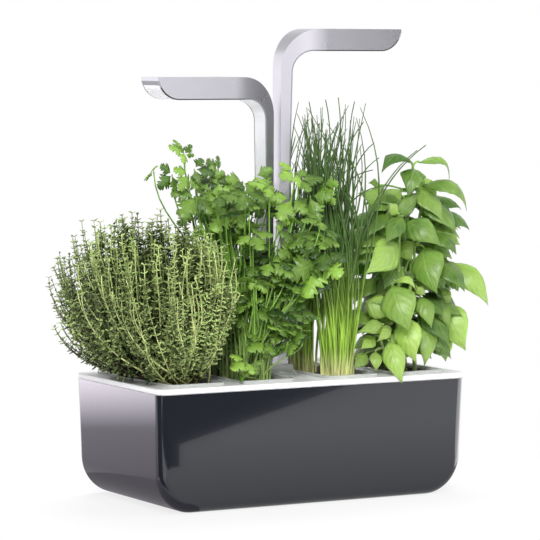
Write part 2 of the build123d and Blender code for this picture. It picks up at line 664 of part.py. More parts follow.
with BuildPart() as control_board:
    with BuildSketch(Plane.XY.offset(BOARD_Z)):
        with Locations((0, BOARD_Y)):
            Rectangle(BOARD_WIDTH, BOARD_LENGTH)
        with Locations((-BOARD_SCREW_SPAN / 2, BOARD_Y), (BOARD_SCREW_SPAN / 2, BOARD_Y)):
            Circle(SCREW_RADIUS, mode=Mode.SUBTRACT)
    extrude(amount=BOARD_THICKNESS)
    with BuildSketch(Plane.XY.offset(BOARD_Z + BOARD_THICKNESS)):
        with Locations((0, BOARD_Y)):
            Rectangle(SWITCH_SIZE, SWITCH_SIZE)
    extrude(amount=SWITCH_HEIGHT)
control_board.part.label = "control_board"
export_step(control_board.part, "parts/control_board.step")

with BuildPart() as board_screws:
    with BuildSketch(Plane.XY.offset(BOARD_Z + BOARD_THICKNESS)):
        with Locations((-BOARD_SCREW_SPAN / 2, BOARD_Y), (BOARD_SCREW_SPAN / 2, BOARD_Y)):
            Circle(SCREW_RADIUS)
    extrude(amount=-BOARD_THICKNESS - BOARD_STANDOFF + CUT)
    with BuildSketch(Plane.XY.offset(BOARD_Z + BOARD_THICKNESS)):
        with Locations((-BOARD_SCREW_SPAN / 2, BOARD_Y), (BOARD_SCREW_SPAN / 2, BOARD_Y)):
            Circle(SCREW_HEAD_RADIUS)
    extrude(amount=SCREW_HEAD_HEIGHT)
board_screws.part.label = "board_screws"
export_step(board_screws.part, "parts/board_screws.step")

with BuildPart() as light_button:
    button_foot = BOARD_Z + BOARD_THICKNESS + SWITCH_HEIGHT + BUTTON_TRAVEL + BUTTON_STOP_GAP
    with BuildSketch(Plane.XY.offset(button_foot)):
        with Locations((0, BOARD_Y)):
            Circle(BUTTON_RADIUS)
    extrude(amount=DECK_TOP + BUTTON_PROUD - button_foot)
    fillet(light_button.edges().group_by(Axis.Z)[-1], BUTTON_PROUD / 2)
    with BuildSketch(Plane.XY.offset(DECK_UNDER - BUTTON_STOP_GAP)):
        with Locations((0, BOARD_Y)):
            Circle(BUTTON_RADIUS + BUTTON_FLANGE)
    extrude(amount=-BUTTON_FLANGE_HEIGHT)
light_button.part.label = "light_button"
export_step(light_button.part, "parts/light_button.step")

with BuildPart() as indicator_light:
    with BuildSketch(Plane.XY.offset(DECK_UNDER)):
        with Locations((INDICATOR_X, INDICATOR_Y)):
            Circle(INDICATOR_RADIUS)
    extrude(amount=DECK_PLATE + INDICATOR_PROUD)
    fillet(indicator_light.edges().group_by(Axis.Z)[-1], INDICATOR_PROUD)
    with BuildSketch(Plane.XY.offset(DECK_UNDER)):
        with Locations((INDICATOR_X, INDICATOR_Y)):
            Circle(INDICATOR_RADIUS + INDICATOR_FLANGE)
    extrude(amount=-INDICATOR_DEPTH)
indicator_light.part.label = "indicator_light"
export_step(indicator_light.part, "parts/indicator_light.step")

# ================= Water level float =================

with BuildPart() as float_guide:
    with BuildSketch(Plane.XY.offset(ROD_END)):
        with Locations((0, FLOAT_Y)):
            Circle(ROD_RADIUS)
    extrude(amount=DECK_UNDER - ROD_END)
    with BuildSketch(Plane.XY.offset(DECK_UNDER)):
        with Locations((0, FLOAT_Y)):
            Circle(ROD_FLANGE)
    extrude(amount=-ROD_FLANGE_HEIGHT)
float_guide.part.label = "float_guide"
export_step(float_guide.part, "parts/float_guide.step")

with BuildPart() as float_stop:
    with BuildSketch(Plane.XY.offset(ROD_END + STOP_UP)):
        with Locations((0, FLOAT_Y)):
            Circle(STOP_RADIUS)
            Circle(ROD_RADIUS, mode=Mode.SUBTRACT)
    extrude(amount=STOP_HEIGHT)
float_stop.part.label = "float_stop"
export_step(float_stop.part, "parts/float_stop.step")

with BuildPart() as water_float:
    with BuildSketch(Plane.XY.offset(ROD_END + STOP_UP + STOP_HEIGHT)):
        with Locations((0, FLOAT_Y)):
            Circle(FLOAT_RADIUS)
            Circle(ROD_RADIUS + FLOAT_CLEARANCE, mode=Mode.SUBTRACT)
    extrude(amount=FLOAT_HEIGHT)
water_float.part.label = "water_float"
export_step(water_float.part, "parts/water_float.step")

# ================= Lamps =================

LAMPS = (
    (-1, LEFT_LAMP_TOP, "left"),
    (1, RIGHT_LAMP_TOP, "right"),
)
LED_MIDDLE = LED_BOARD_START + LED_BOARD_LENGTH / 2
SEAM_DROP = HEAD_HEIGHT + INNER_BEND + 1.0
BAND = 2 * HEAD_LENGTH

for side, top, side_name in LAMPS:

    def head_x(x):
        """Place along a head, measured from the arm's outer face."""
        return side * (POST_GAP / 2 + x)

    boss_places = [
        (head_x(LED_MIDDLE - LAMP_SCREW_SPAN / 2), MAST_Y),
        (head_x(LED_MIDDLE + LAMP_SCREW_SPAN / 2), MAST_Y),
    ]

    with BuildPart() as lamp_shell:
        add(arm_block(side, top, inner=FRAME_HEIGHT))
        add(arm_block(side, top, outer=ARM_WALL, plan=ARM_WALL, low=-CUT), mode=Mode.SUBTRACT)
        with BuildSketch(Plane.XY.offset(top - LED_BOARD_DROP)):
            with Locations(*boss_places):
                Circle(LAMP_BOSS_RADIUS)
        extrude(amount=LED_BOARD_DROP - ARM_WALL / 2)
        with BuildSketch(Plane.XY.offset(top - LED_BOARD_DROP)):
            with Locations(*boss_places):
                Circle(SCREW_RADIUS)
        extrude(amount=SCREW_BITE, mode=Mode.SUBTRACT)
    lamp_shell.part.label = f"{side_name}_lamp_shell"
    export_step(lamp_shell.part, f"parts/{side_name}_lamp_shell.step")

    with BuildPart() as lamp_frame:
        add(arm_block(side, top, plan=FRAME_INSET))
        add(arm_block(side, top, inner=FRAME_HEIGHT, low=-CUT), mode=Mode.SUBTRACT)
        add(arm_block(side, top, outer=ARM_WALL, plan=ARM_WALL, low=-CUT), mode=Mode.SUBTRACT)
    lamp_frame.part.label = f"{side_name}_lamp_frame"
    export_step(lamp_frame.part, f"parts/{side_name}_lamp_frame.step")

    with BuildPart() as diffuser:
        add(arm_block(side, top, outer=ARM_WALL + LAMP_FIT, plan=ARM_WALL + LAMP_FIT))
        add(
            arm_block(side, top, inner=DIFFUSER_WALL, low=-CUT),
            mode=Mode.SUBTRACT,
        )
        with BuildSketch(Plane.XY.offset(top - SEAM_DROP)):
            Rectangle(2 * BAND, BAND)
        extrude(amount=-POST_BOTTOM_DEPTH, mode=Mode.SUBTRACT)
    diffuser.part.label = f"{side_name}_diffuser"
    export_step(diffuser.part, f"parts/{side_name}_diffuser.step")

    with BuildPart() as post_cover:
        add(arm_block(side, top, outer=ARM_WALL + LAMP_FIT, plan=ARM_WALL + LAMP_FIT))
        add(
            arm_block(side, top, inner=DIFFUSER_WALL, low=-CUT),
            mode=Mode.SUBTRACT,
        )
        with BuildSketch(Plane.XY.offset(top - SEAM_DROP - LAMP_FIT)):
            Rectangle(2 * BAND, BAND)
        extrude(amount=BAND, mode=Mode.SUBTRACT)
    post_cover.part.label = f"{side_name}_post_cover"
    export_step(post_cover.part, f"parts/{side_name}_post_cover.step")

    with BuildPart() as post_cap:
        add(
            arm_block(
                side,
                top,
                outer=ARM_WALL + LAMP_FIT,
                inner=DIFFUSER_WALL + LAMP_FIT,
                plan=ARM_WALL + LAMP_FIT,
            )
        )
        with BuildSketch(Plane.XY.offset(top - POST_BOTTOM_DEPTH + CAP_HEIGHT)):
            Rectangle(2 * BAND, BAND)
        extrude(amount=POST_BOTTOM_DEPTH, mode=Mode.SUBTRACT)
    post_cap.part.label = f"{side_name}_post_cap"
    export_step(post_cap.part, f"parts/{side_name}_post_cap.step")

    with BuildPart() as led_board:
        with BuildSketch(Plane.XY.offset(top - LED_BOARD_DROP)):
            with Locations((head_x(LED_MIDDLE), MAST_Y)):
                Rectangle(LED_BOARD_LENGTH, LED_BOARD_DEPTH)
            with Locations(*boss_places):
                Circle(SCREW_RADIUS, mode=Mode.SUBTRACT)
        extrude(amount=-LED_BOARD_THICKNESS)
    led_board.part.label = f"{side_name}_led_board"
    export_step(led_board.part, f"parts/{side_name}_led_board.step")

    board_under = top - LED_BOARD_DROP - LED_BOARD_THICKNESS
    with BuildPart() as leds:
        with BuildSketch(Plane.XY.offset(board_under)):
            with Locations((head_x(LED_MIDDLE), MAST_Y)):
                with GridLocations(LED_PITCH_X, LED_PITCH_Y, LED_COLUMNS, 2):
                    Rectangle(LED_SIZE, LED_SIZE)
        extrude(amount=-LED_HEIGHT)
    leds.part.label = f"{side_name}_leds"
    export_step(leds.part, f"parts/{side_name}_leds.step")

    with BuildPart() as lamp_screws:
        with BuildSketch(Plane.XY.offset(board_under)):
            with Locations(*boss_places):
                Circle(SCREW_RADIUS)
        extrude(amount=LED_BOARD_THICKNESS + SCREW_BITE - CUT)
        with BuildSketch(Plane.XY.offset(board_under)):
            with Locations(*boss_places):
                Circle(SCREW_HEAD_RADIUS)
        extrude(amount=-SCREW_HEAD_HEIGHT)
    lamp_screws.part.label = f"{side_name}_lamp_screws"
    export_step(lamp_screws.part, f"parts/{side_name}_lamp_screws.step")

# ================= Plants =================
# Each row is height above the growing block, centre from the slot's own centre, then half sizes in X and Y.

THYME_FORM = (
    (0, 0, 0, 22, 60),
    (6, 0, 0, 23, 61),
    (22, -6, -6, 44, 72),
    (52, -16, -8, 68, 92),
    (92, -20, -10, 84, 102),
    (126, -19, -9, 64, 84),
    (148, -17, -8, 46, 58),
    (162, -17, -8, 20, 26),
)
PARSLEY_FORM = (
    (0, 0, -4, 19, 54),
    (6, 0, -4, 19, 54),
    (45, 2, -12, 21, 64),
    (90, 3, -16, 22, 72),
    (150, 3, -18, 23, 76),
    (176, -18, -14, 44, 68),
    (200, -28, -12, 52, 54),
    (222, -31, -8, 18, 20),
)
PARSLEY_FRONT_FORM = (
    (20, 8, -44, 12, 14),
    (50, 26, -66, 16, 14),
    (85, 42, -82, 22, 14),
    (125, 52, -84, 28, 18),
    (170, 54, -80, 20, 14),
    (190, 52, -76, 8, 7),
)
CHIVES_FORM = (
    (0, 0, -14, 14, 50),
    (60, 2, -12, 18, 50),
    (120, 8, -8, 26, 50),
    (170, 14, -10, 32, 52),
    (215, 20, -12, 42, 52),
    (250, 22, -12, 34, 40),
    (262, 22, -12, 14, 18),
)
BASIL_FORM = (
    (0, 0, -8, 18, 48),
    (6, 0, -8, 20, 50),
    (20, 4, -24, 45, 58),
    (50, 10, -23, 46, 56),
    (72, 14, -22, 51, 62),
    (98, 15, -20, 47, 60),
    (122, 14, -20, 50, 60),
    (146, 16, -20, 44, 54),
    (172, 19, -22, 36, 46),
    (188, 20, -24, 34, 36),
    (204, 16, -30, 22, 18),
)
BASIL_SIDE_FORM = (
    (56, 79, -66, 6, 8),
    (74, 70, -56, 14, 12),
    (96, 58, -46, 15, 12),
    (108, 48, -40, 10, 10),
)
THYME_SIDE = 9.0  # how far thyme may lean over its neighbour's slot
PARSLEY_ROOM = 39.5  # between the highest leaves and the left lamp's underside
CHIVES_ROOM = 45.0  # between the highest blades and the right lamp's underside
PARSLEY_TOP = LEFT_LAMP_TOP - HEAD_HEIGHT - PARSLEY_ROOM
CHIVES_TOP = RIGHT_LAMP_TOP - HEAD_HEIGHT - CHIVES_ROOM
PARSLEY_STRETCH = (PARSLEY_TOP - BLOCK_TOP) / PARSLEY_FORM[-1][0]
CHIVES_STRETCH = (CHIVES_TOP - BLOCK_TOP) / CHIVES_FORM[-1][0]


def foliage(slot_x, form, stretch=1.0):
    """Closed solid through a stack of ellipses, with their heights times stretch."""
    with BuildPart() as bush:
        for rise, offset_x, offset_y, half_x, half_y in form:
            with BuildSketch(Plane.XY.offset(BLOCK_TOP + rise * stretch)):
                with Locations((slot_x + offset_x, offset_y)):
                    Ellipse(half_x, half_y)
        loft(ruled=True)
    return bush.part


with BuildPart() as thyme_plant:
    add(foliage(-OUTER_SLOT_X, THYME_FORM))
    split(bisect_by=Plane.YZ.offset(THYME_SIDE - INNER_SLOT_X - SLOT_WIDTH / 2), keep=Keep.BOTTOM)
thyme_plant.part.label = "thyme_plant"
export_step(thyme_plant.part, "parts/thyme_plant.step")

with BuildPart() as parsley_plant:
    add(foliage(-INNER_SLOT_X, PARSLEY_FORM, PARSLEY_STRETCH))
    add(foliage(-INNER_SLOT_X, PARSLEY_FRONT_FORM, PARSLEY_STRETCH))
parsley_plant.part.label = "parsley_plant"
export_step(parsley_plant.part, "parts/parsley_plant.step")

with BuildPart() as chives_plant:
    add(foliage(INNER_SLOT_X, CHIVES_FORM, CHIVES_STRETCH))
chives_plant.part.label = "chives_plant"
export_step(chives_plant.part, "parts/chives_plant.step")

with BuildPart() as basil_plant:
    add(foliage(OUTER_SLOT_X, BASIL_FORM))
    add(foliage(OUTER_SLOT_X, BASIL_SIDE_FORM))
basil_plant.part.label = "basil_plant"
export_step(basil_plant.part, "parts/basil_plant.step")
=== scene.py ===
import json
import math
import random

import bmesh
import bpy
import numpy as np
from mathutils import Matrix, Vector


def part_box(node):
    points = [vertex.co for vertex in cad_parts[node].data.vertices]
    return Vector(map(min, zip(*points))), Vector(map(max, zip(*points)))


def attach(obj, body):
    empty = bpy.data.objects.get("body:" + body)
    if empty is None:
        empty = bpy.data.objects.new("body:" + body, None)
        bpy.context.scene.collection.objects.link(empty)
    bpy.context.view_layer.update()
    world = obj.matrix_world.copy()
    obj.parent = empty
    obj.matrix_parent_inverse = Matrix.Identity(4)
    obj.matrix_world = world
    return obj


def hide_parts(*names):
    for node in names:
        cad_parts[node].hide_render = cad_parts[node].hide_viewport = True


# %% [markdown]
# # A countertop herb garden
# The garden is a glossy water tub with a white deck. Four long trays of herbs hang in the deck and
# two lamp arms slide on a mast in its middle. The hard parts come from the CAD frame with their exact
# shapes. This file gives them their finishes and grows the four herbs, which CAD only holds as plain
# solids. Everything is in metres, in the frame's own axes.

# %% Load the frame and keep its box
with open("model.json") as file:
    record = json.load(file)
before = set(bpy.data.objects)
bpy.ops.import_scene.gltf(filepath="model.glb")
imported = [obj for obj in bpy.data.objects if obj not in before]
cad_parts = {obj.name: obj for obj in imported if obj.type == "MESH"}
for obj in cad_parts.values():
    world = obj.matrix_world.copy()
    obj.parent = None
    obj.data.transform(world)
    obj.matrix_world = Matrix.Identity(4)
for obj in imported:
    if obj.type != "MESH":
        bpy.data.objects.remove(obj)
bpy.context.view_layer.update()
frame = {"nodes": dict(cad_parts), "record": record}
bpy.ops.object.select_all(action="DESELECT")

# %% [markdown]
# ## Camera
# A long lens from the front left shows the front, the left end and a sliver of the deck. The camera is
# placed by its turn, its tilt and a slight roll, which together give the three axes of its own frame.

# %% Camera
CAMERA_PLACE = Vector((-1.45138, -2.52047, 0.42823))
CAMERA_TURN = math.radians(29.8995)
CAMERA_TILT = math.radians(4.2413)
CAMERA_ROLL = math.radians(0.28994)
SENSOR_WIDTH, LENS_LENGTH = 36.0, 205.434
look = Vector((
    math.sin(CAMERA_TURN) * math.cos(CAMERA_TILT),
    math.cos(CAMERA_TURN) * math.cos(CAMERA_TILT),
    -math.sin(CAMERA_TILT),
))
level_right = Vector((math.cos(CAMERA_TURN), -math.sin(CAMERA_TURN), 0.0))
level_up = level_right.cross(look)
camera_right = level_right * math.cos(CAMERA_ROLL) + level_up * math.sin(CAMERA_ROLL)
camera_up = level_up * math.cos(CAMERA_ROLL) - level_right * math.sin(CAMERA_ROLL)
TO_CAMERA = -look

bpy.ops.object.camera_add()
camera = bpy.context.object
camera.name = "camera"
camera.data.sensor_width = SENSOR_WIDTH
camera.data.lens = LENS_LENGTH
axes = Matrix((camera_right, camera_up, TO_CAMERA)).transposed()
camera.matrix_world = Matrix.Translation(CAMERA_PLACE) @ axes.to_4x4()
bpy.context.scene.camera = camera
bpy.context.scene.view_settings.view_transform = "Standard"
print("camera looks along", [round(v, 3) for v in look])

# %% [markdown]
# ## Tools for node trees
# Every look here is a tree of nodes, each fed by plain values or by other nodes. These functions add one
# node and wire it in a single line, so that a tree reads almost like a sum.


# %% Node tools
def wire(tree, node, inputs):
    """Each named input takes its value, or a link where the value is the output of another node."""
    for label, value in inputs.items():
        if isinstance(value, bpy.types.NodeSocket):
            tree.links.new(value, node.inputs[label])
        else:
            node.inputs[label].default_value = value
    return node


def add(tree, kind, inputs=None, **settings):
    node = tree.nodes.new("ShaderNode" + kind)
    for label, value in settings.items():
        setattr(node, label, value)
    return wire(tree, node, inputs or {})


def calc(tree, operation, first, second=0.0, clamp=False):
    return add(tree, "Math", {0: first, 1: second}, operation=operation, use_clamp=clamp).outputs[0]


def soft_step(tree, value, low, high, at_low=0.0, at_high=1.0):
    """Goes softly from at_low to at_high while value goes from low to high."""
    inputs = {"Value": value, "From Min": low, "From Max": high, "To Min": at_low, "To Max": at_high}
    return add(tree, "MapRange", inputs, interpolation_type="SMOOTHSTEP").outputs["Result"]


def split(tree, place):
    """The three numbers of a place, named X, Y and Z."""
    return add(tree, "SeparateXYZ", {0: place}).outputs


# %% [markdown]
# ## Studio
# A product table: a pale floor, a white surround and three soft lamps. The floor and the world show as
# plain white to the camera, so the object is lit at a plain level and still stands on white, and the floor
# keeps a faint shadow. Mirror rays see the same surround, but grey overhead, as under a studio ceiling.
# Glossy plastic and satin metal show only what they reflect, so cards are laid and stood around them.
# They are flat sheets that mirror rays alone can see. Dark ones lie before the tub's front and
# beside its left corner, pale ones run along its foot, and bright ones lie past its right corner and
# behind its left end. Upright ones give the two lamp arms a light side and a shaded side.

# %% World
PURE_WHITE = (1, 1, 1, 1)
SURROUND_TOP, FALL_START, FALL_END = 0.42, 0.12, 0.75
FILL_COLOUR, FILL_STRENGTH = (0.97, 0.98, 1, 1), 0.42


def seen_directly(tree):
    """1 for camera, mirror and see-through rays, 0 for the rays that light the object."""
    rays = add(tree, "LightPath").outputs
    seen = calc(tree, "MAXIMUM", rays["Is Camera Ray"], rays["Is Glossy Ray"])
    return calc(tree, "MAXIMUM", seen, rays["Is Transmission Ray"])


world = bpy.data.worlds.new("studio")
bpy.context.scene.world = world
world.use_nodes = True
sky = world.node_tree
sky.nodes.clear()
# Mirror rays see the surround fall off to grey overhead; the camera sees it plain white.
sky_height = split(sky, add(sky, "TexCoord").outputs["Generated"])["Z"]
sky_fall = soft_step(sky, sky_height, FALL_START, FALL_END, 1.0, SURROUND_TOP)
sky_level = calc(sky, "MAXIMUM", sky_fall, add(sky, "LightPath").outputs["Is Camera Ray"])
surround = add(sky, "Background", {"Color": PURE_WHITE, "Strength": sky_level})
fill = add(sky, "Background", {"Color": FILL_COLOUR, "Strength": FILL_STRENGTH})
sky_mix = add(sky, "MixShader", {0: seen_directly(sky), 1: fill.outputs[0], 2: surround.outputs[0]})
add(sky, "OutputWorld", {"Surface": sky_mix.outputs[0]})
print("world lights at", FILL_STRENGTH)


# %% Soft lamps
def soft_lamp(name, place, target, width, height, power):
    bpy.ops.object.light_add(type="AREA", location=place)
    lamp = bpy.context.object
    lamp.name = name
    lamp.data.shape = "RECTANGLE"
    lamp.data.size = width
    lamp.data.size_y = height
    lamp.data.energy = power
    aim = Vector(target) - Vector(place)
    lamp.rotation_euler = aim.to_track_quat("-Z", "Y").to_euler()
    return lamp


soft_lamp("key_lamp", (-1.2, -2.0, 1.5), (0, 0, 0.2), 0.8, 0.8, 46)
soft_lamp("side_lamp", (1.6, -0.9, 0.9), (0, 0, 0.2), 0.6, 1.4, 14)
top_lamp = soft_lamp("top_lamp", (0.2, 0.6, 1.9), (0, 0, 0.1), 1.0, 1.0, 32)
top_lamp.visible_glossy = False


# %% Floor
def new_finish(name, empty=False):
    finish = bpy.data.materials.new(name)
    finish.use_nodes = True
    if empty:
        finish.node_tree.nodes.clear()
    return finish


FLOOR_SIZE, FLOOR_DROP = 24.0, 0.0002
FLOOR_COLOUR = (0.86, 0.86, 0.86, 1)
SHADOW_REACH, SHADOW_END, SHADOW_WHITE = 0.12, 0.42, 0.8
bpy.ops.mesh.primitive_grid_add(
    x_subdivisions=4, y_subdivisions=4, size=FLOOR_SIZE, location=(0, 0, -FLOOR_DROP)
)
floor = bpy.context.object
floor.name = "floor"
floor_finish = new_finish("pale_floor", empty=True)
tree = floor_finish.node_tree
floor_place = add(tree, "TexCoord").outputs["Object"]
floor_reach = add(tree, "VectorMath", {0: floor_place}, operation="LENGTH").outputs["Value"]
floor_fade = soft_step(tree, floor_reach, SHADOW_REACH, SHADOW_END, SHADOW_WHITE, 1.0)
floor_share = calc(tree, "MULTIPLY", seen_directly(tree), floor_fade)
floor_matte = add(tree, "BsdfDiffuse", {"Color": FLOOR_COLOUR})
floor_white = add(tree, "Emission")
floor_mix = add(tree, "MixShader", {0: floor_share, 1: floor_matte.outputs[0], 2: floor_white.outputs[0]})
add(tree, "OutputMaterial", {"Surface": floor_mix.outputs[0]})
floor.data.materials.append(floor_finish)


# %% Cards that only reflections see
def line(tree, value, slope, start, clamp=False):
    """A straight line: value times slope, plus start."""
    inputs = {0: value, 1: slope, 2: start}
    return add(tree, "Math", inputs, operation="MULTIPLY_ADD", use_clamp=clamp).outputs[0]


def card(name, corners, near_glow, far_glow, colour):
    """A flat card, lit from its first edge to its third, that shows in mirror rays alone."""
    bpy.ops.mesh.primitive_plane_add(size=1.0)
    sheet = bpy.context.object
    sheet.name = name
    bpy.ops.object.mode_set(mode="EDIT")
    bm = bmesh.from_edit_mesh(sheet.data)
    for vertex, corner in zip(bm.verts, (corners[0], corners[1], corners[3], corners[2])):
        vertex.co = Vector(corner)
    bmesh.update_edit_mesh(sheet.data)
    bpy.ops.object.mode_set(mode="OBJECT")
    finish = new_finish(name, empty=True)
    tree = finish.node_tree
    rise = split(tree, add(tree, "UVMap").outputs["UV"])["Y"]
    fade = line(tree, rise, far_glow - near_glow, near_glow)
    glow = add(tree, "Emission", {"Color": colour, "Strength": fade})
    add(tree, "OutputMaterial", {"Surface": glow.outputs[0]})
    sheet.data.materials.append(finish)
    sheet.visible_camera = False
    sheet.visible_diffuse = False
    sheet.visible_shadow = False
    sheet.visible_transmission = False


DARK = (0.3, 0.32, 0.36, 1)
LAVENDER = (0.96, 0.89, 1, 1)
GREY = (0.1, 0.1, 0.11, 1)
WHITE = (1, 0.98, 1, 1)
FLOOR_CARDS = (
    # name, glow at the first and at the third edge, colour, height, then x and y of four corners
    ("dark_card_right", 0.02, 0.02, DARK, 0.002, (0.017, -0.383), (0.66, -0.854), (1.2, -1.9), (0.72, -1.7)),
    ("dark_card_left", 0.02, 0.02, DARK, 0.002, (-0.5, -0.28), (-0.039, -0.277), (0.72, -1.7), (-1.2, -1.9)),
    ("dark_card_edge", 0.02, 0.02, DARK, 0.002, (-0.16, -0.12), (-0.5, -0.28), (-1.6, -0.9), (-1.2, 0.35)),
    ("foot_card", 0.45, 1.05, PURE_WHITE, 0.001, (-0.2, -0.05), (0.45, -0.05), (0.45, -0.45), (-0.2, -0.45)),
    ("corner_card", 3.0, 3.0, WHITE, 0.002, (0.215, -0.1), (0.56, -0.6), (1.3, -0.5), (0.9, 0.4)),
    ("end_foot_card", 0.2, 0.5, LAVENDER, 0.0015, (-0.12, -0.1), (-0.12, 0.35), (-0.25, 0.35), (-0.25, -0.1)),
    ("near_end_card", 0.55, 0.8, LAVENDER, 0.002, (-0.3, -0.08), (-0.13, 0.16), (-0.2, 0.58), (-0.55, 0.21)),
    ("far_end_card", 0.8, 6.0, LAVENDER, 0.002, (-0.55, 0.21), (-0.2, 0.58), (-0.42, 1.05), (-0.8, 0.75)),
)
UPRIGHT_CARDS = (
    # name, glow at the first and at the third edge, colour, four corners
    ("lamp_shade_card", 0.1, 0.1, GREY,
     (0.68, -1.06, 0.12), (1.35, 0.1, 0.12), (1.35, 0.1, 1.0), (0.68, -1.06, 1.0)),
    ("lamp_light_card", 0.95, 1.8, WHITE,
     (-0.36, -1.3, 0.14), (-0.36, -1.3, 0.9), (0.4, -1.24, 0.9), (0.4, -1.24, 0.14)),
    ("back_card", 1.6, 1.3, WHITE, (-1.0, 0.8, 0.14), (-0.3, 1.2, 0.14), (-0.3, 1.2, 0.9), (-1.0, 0.8, 0.9)),
)
for name, near_glow, far_glow, colour, height, *spots in FLOOR_CARDS:
    card(name, [(*spot, height) for spot in spots], near_glow, far_glow, colour)
for name, near_glow, far_glow, colour, *corners in UPRIGHT_CARDS:
    card(name, corners, near_glow, far_glow, colour)

# %% [markdown]
# ## Shared effects
# Three effects are used by many finishes, so each is a node group with its own sliders. Moulded wander
# gives hard parts slightly uneven gloss and a faint orange peel. Leaf skin draws a midrib, side veins and
# soft blotches in the leaf's own UV map. Stalk skin runs through three colours up the plant, and tall
# narrow patches make each stalk lighter or darker than the one beside it.

# %% Group helper
def group(name, inputs, outputs):
    """An empty node group. An input that starts at None is a place, at a tuple a colour, else a number."""
    tree = bpy.data.node_groups.new(name, "ShaderNodeTree")
    for label, value in inputs.items():
        kind = "Vector" if value is None else "Color" if isinstance(value, tuple) else "Float"
        socket = tree.interface.new_socket(name=label, in_out="INPUT", socket_type="NodeSocket" + kind)
        if value is not None:
            socket.default_value = value
    for label in outputs:
        kind = "Color" if label == "Colour" else "Float"
        tree.interface.new_socket(name=label, in_out="OUTPUT", socket_type="NodeSocket" + kind)
    return tree, tree.nodes.new("NodeGroupInput").outputs, tree.nodes.new("NodeGroupOutput")


# %% Moulded wander
def clouds(tree, place, scale, detail=3.0):
    """Noise around one half."""
    inputs = {"Vector": place, "Scale": scale, "Detail": detail, "Roughness": 0.55}
    return add(tree, "TexNoise", inputs).outputs["Fac"]


def scaled(tree, colour, factor):
    return add(tree, "VectorMath", {0: colour, "Scale": factor}, operation="SCALE").outputs[0]


wander, given, end = group(
    "moulded_wander",
    {
        "Vector": None, "Colour": (0.5, 0.5, 0.5, 1), "Patch Scale": 30.0, "Grain Scale": 900.0,
        "Roughness": 0.4, "Spread": 0.08, "Shade": 0.06,
    },
    ("Colour", "Roughness", "Height"),
)
drift = calc(wander, "SUBTRACT", clouds(wander, given["Vector"], given["Patch Scale"]), 0.5)
shade = line(wander, drift, given["Shade"], 1.0)
wire(wander, end, {
    "Colour": scaled(wander, given["Colour"], shade),
    "Roughness": line(wander, drift, given["Spread"], given["Roughness"], True),
    "Height": clouds(wander, given["Vector"], given["Grain Scale"], 2.0),
})


# %% Leaf skin
def blend(tree, share, first, second):
    return add(tree, "Mix", {0: share, 6: first, 7: second}, data_type="RGBA").outputs[2]


MIDRIB_WIDTH, VEIN_CURVE, VEIN_SLANT, VEIN_SHARPNESS, SIDE_SHARE = 28.0, 1.5, 1.1, 9.0, 0.55
leaf_skin, given, end = group(
    "leaf_skin",
    {
        "UV": None, "Object": None, "Tint": 0.5, "Deep And Shaded": (0.05, 0.12, 0.02, 1),
        "Fresh And Lit": (0.3, 0.5, 0.08, 1), "Vein": (0.4, 0.55, 0.2, 1), "Vein Count": 7.0,
        "Vein Show": 0.4, "Blotch Scale": 120.0,
    },
    ("Colour", "Height", "Roughness"),
)
tree = leaf_skin
own = split(tree, given["UV"])
across = calc(tree, "ABSOLUTE", calc(tree, "SUBTRACT", own["X"], 0.5))
midrib = line(tree, across, -MIDRIB_WIDTH, 1.0, True)
slant = line(tree, calc(tree, "POWER", across, VEIN_CURVE), -VEIN_SLANT, own["Y"])
wave = calc(tree, "FRACT", calc(tree, "MULTIPLY", slant, given["Vein Count"]))
ridge = calc(tree, "ABSOLUTE", calc(tree, "SUBTRACT", wave, 0.5))
side_vein = line(tree, ridge, -VEIN_SHARPNESS, 1.0, True)
veins = calc(tree, "MAXIMUM", midrib, calc(tree, "MULTIPLY", side_vein, SIDE_SHARE))
blotch = clouds(tree, given["Object"], given["Blotch Scale"], 4.0)
# Each copy's tint blends it from the deep to the fresh colour. The tint holds random tone and painted shade:
# leaves inside, low in or behind a bush get low tints and are drawn darker.
tone_and_light = calc(tree, "ADD", given["Tint"], line(tree, blotch, 0.7, -0.35), True)
body = blend(tree, tone_and_light, given["Deep And Shaded"], given["Fresh And Lit"])
wire(tree, end, {
    "Colour": blend(tree, calc(tree, "MULTIPLY", veins, given["Vein Show"]), body, given["Vein"]),
    "Height": line(tree, ridge, 1.4, calc(tree, "MULTIPLY", midrib, -0.6)),
    "Roughness": line(tree, blotch, 0.3, 0.26, True),
})

# %% Stalk skin
STREAK_STRETCH, STREAK_SCALE, FINE_SCALE = (5.0, 5.0, 0.7), 60.0, 700.0
stalk_skin, given, end = group(
    "stalk_skin",
    {
        "Object": None, "Low": (0.7, 0.6, 0.5, 1), "Middle": (0.5, 0.6, 0.15, 1),
        "High": (0.05, 0.15, 0.03, 1), "Low Height": 0.12, "Middle Height": 0.16,
        "High Height": 0.24, "Tint": 0.5,
    },
    ("Colour", "Height", "Roughness"),
)
tree = stalk_skin
narrow = add(tree, "VectorMath", {0: given["Object"], 1: STREAK_STRETCH}, operation="MULTIPLY").outputs[0]
streak = clouds(tree, narrow, STREAK_SCALE)
level = calc(tree, "ADD", split(tree, given["Object"])["Z"], line(tree, streak, 0.04, -0.02))
lower = soft_step(tree, level, given["Low Height"], given["Middle Height"])
upper = soft_step(tree, level, given["Middle Height"], given["High Height"])
rise = blend(tree, upper, blend(tree, lower, given["Low"], given["Middle"]), given["High"])
varied = blend(tree, calc(tree, "MULTIPLY", given["Tint"], 0.55), rise, given["Middle"])
wire(tree, end, {
    "Colour": scaled(tree, varied, line(tree, streak, 2.4, -0.25)),
    "Height": clouds(tree, given["Object"], FINE_SCALE, 2.0),
    "Roughness": line(tree, streak, 0.2, 0.32, True),
})
print("groups", sorted(g.name for g in bpy.data.node_groups))

# %% [markdown]
# ## Hard finishes
# Every hard part takes one finish function: a Principled shader fed by moulded wander, with its own
# numbers for gloss, grain and metal. The tub is deep anthracite with a hard lacquer over it, the deck a
# satin white, the trays a clear pale plastic, and the lamps satin anodised metal with dark trim.

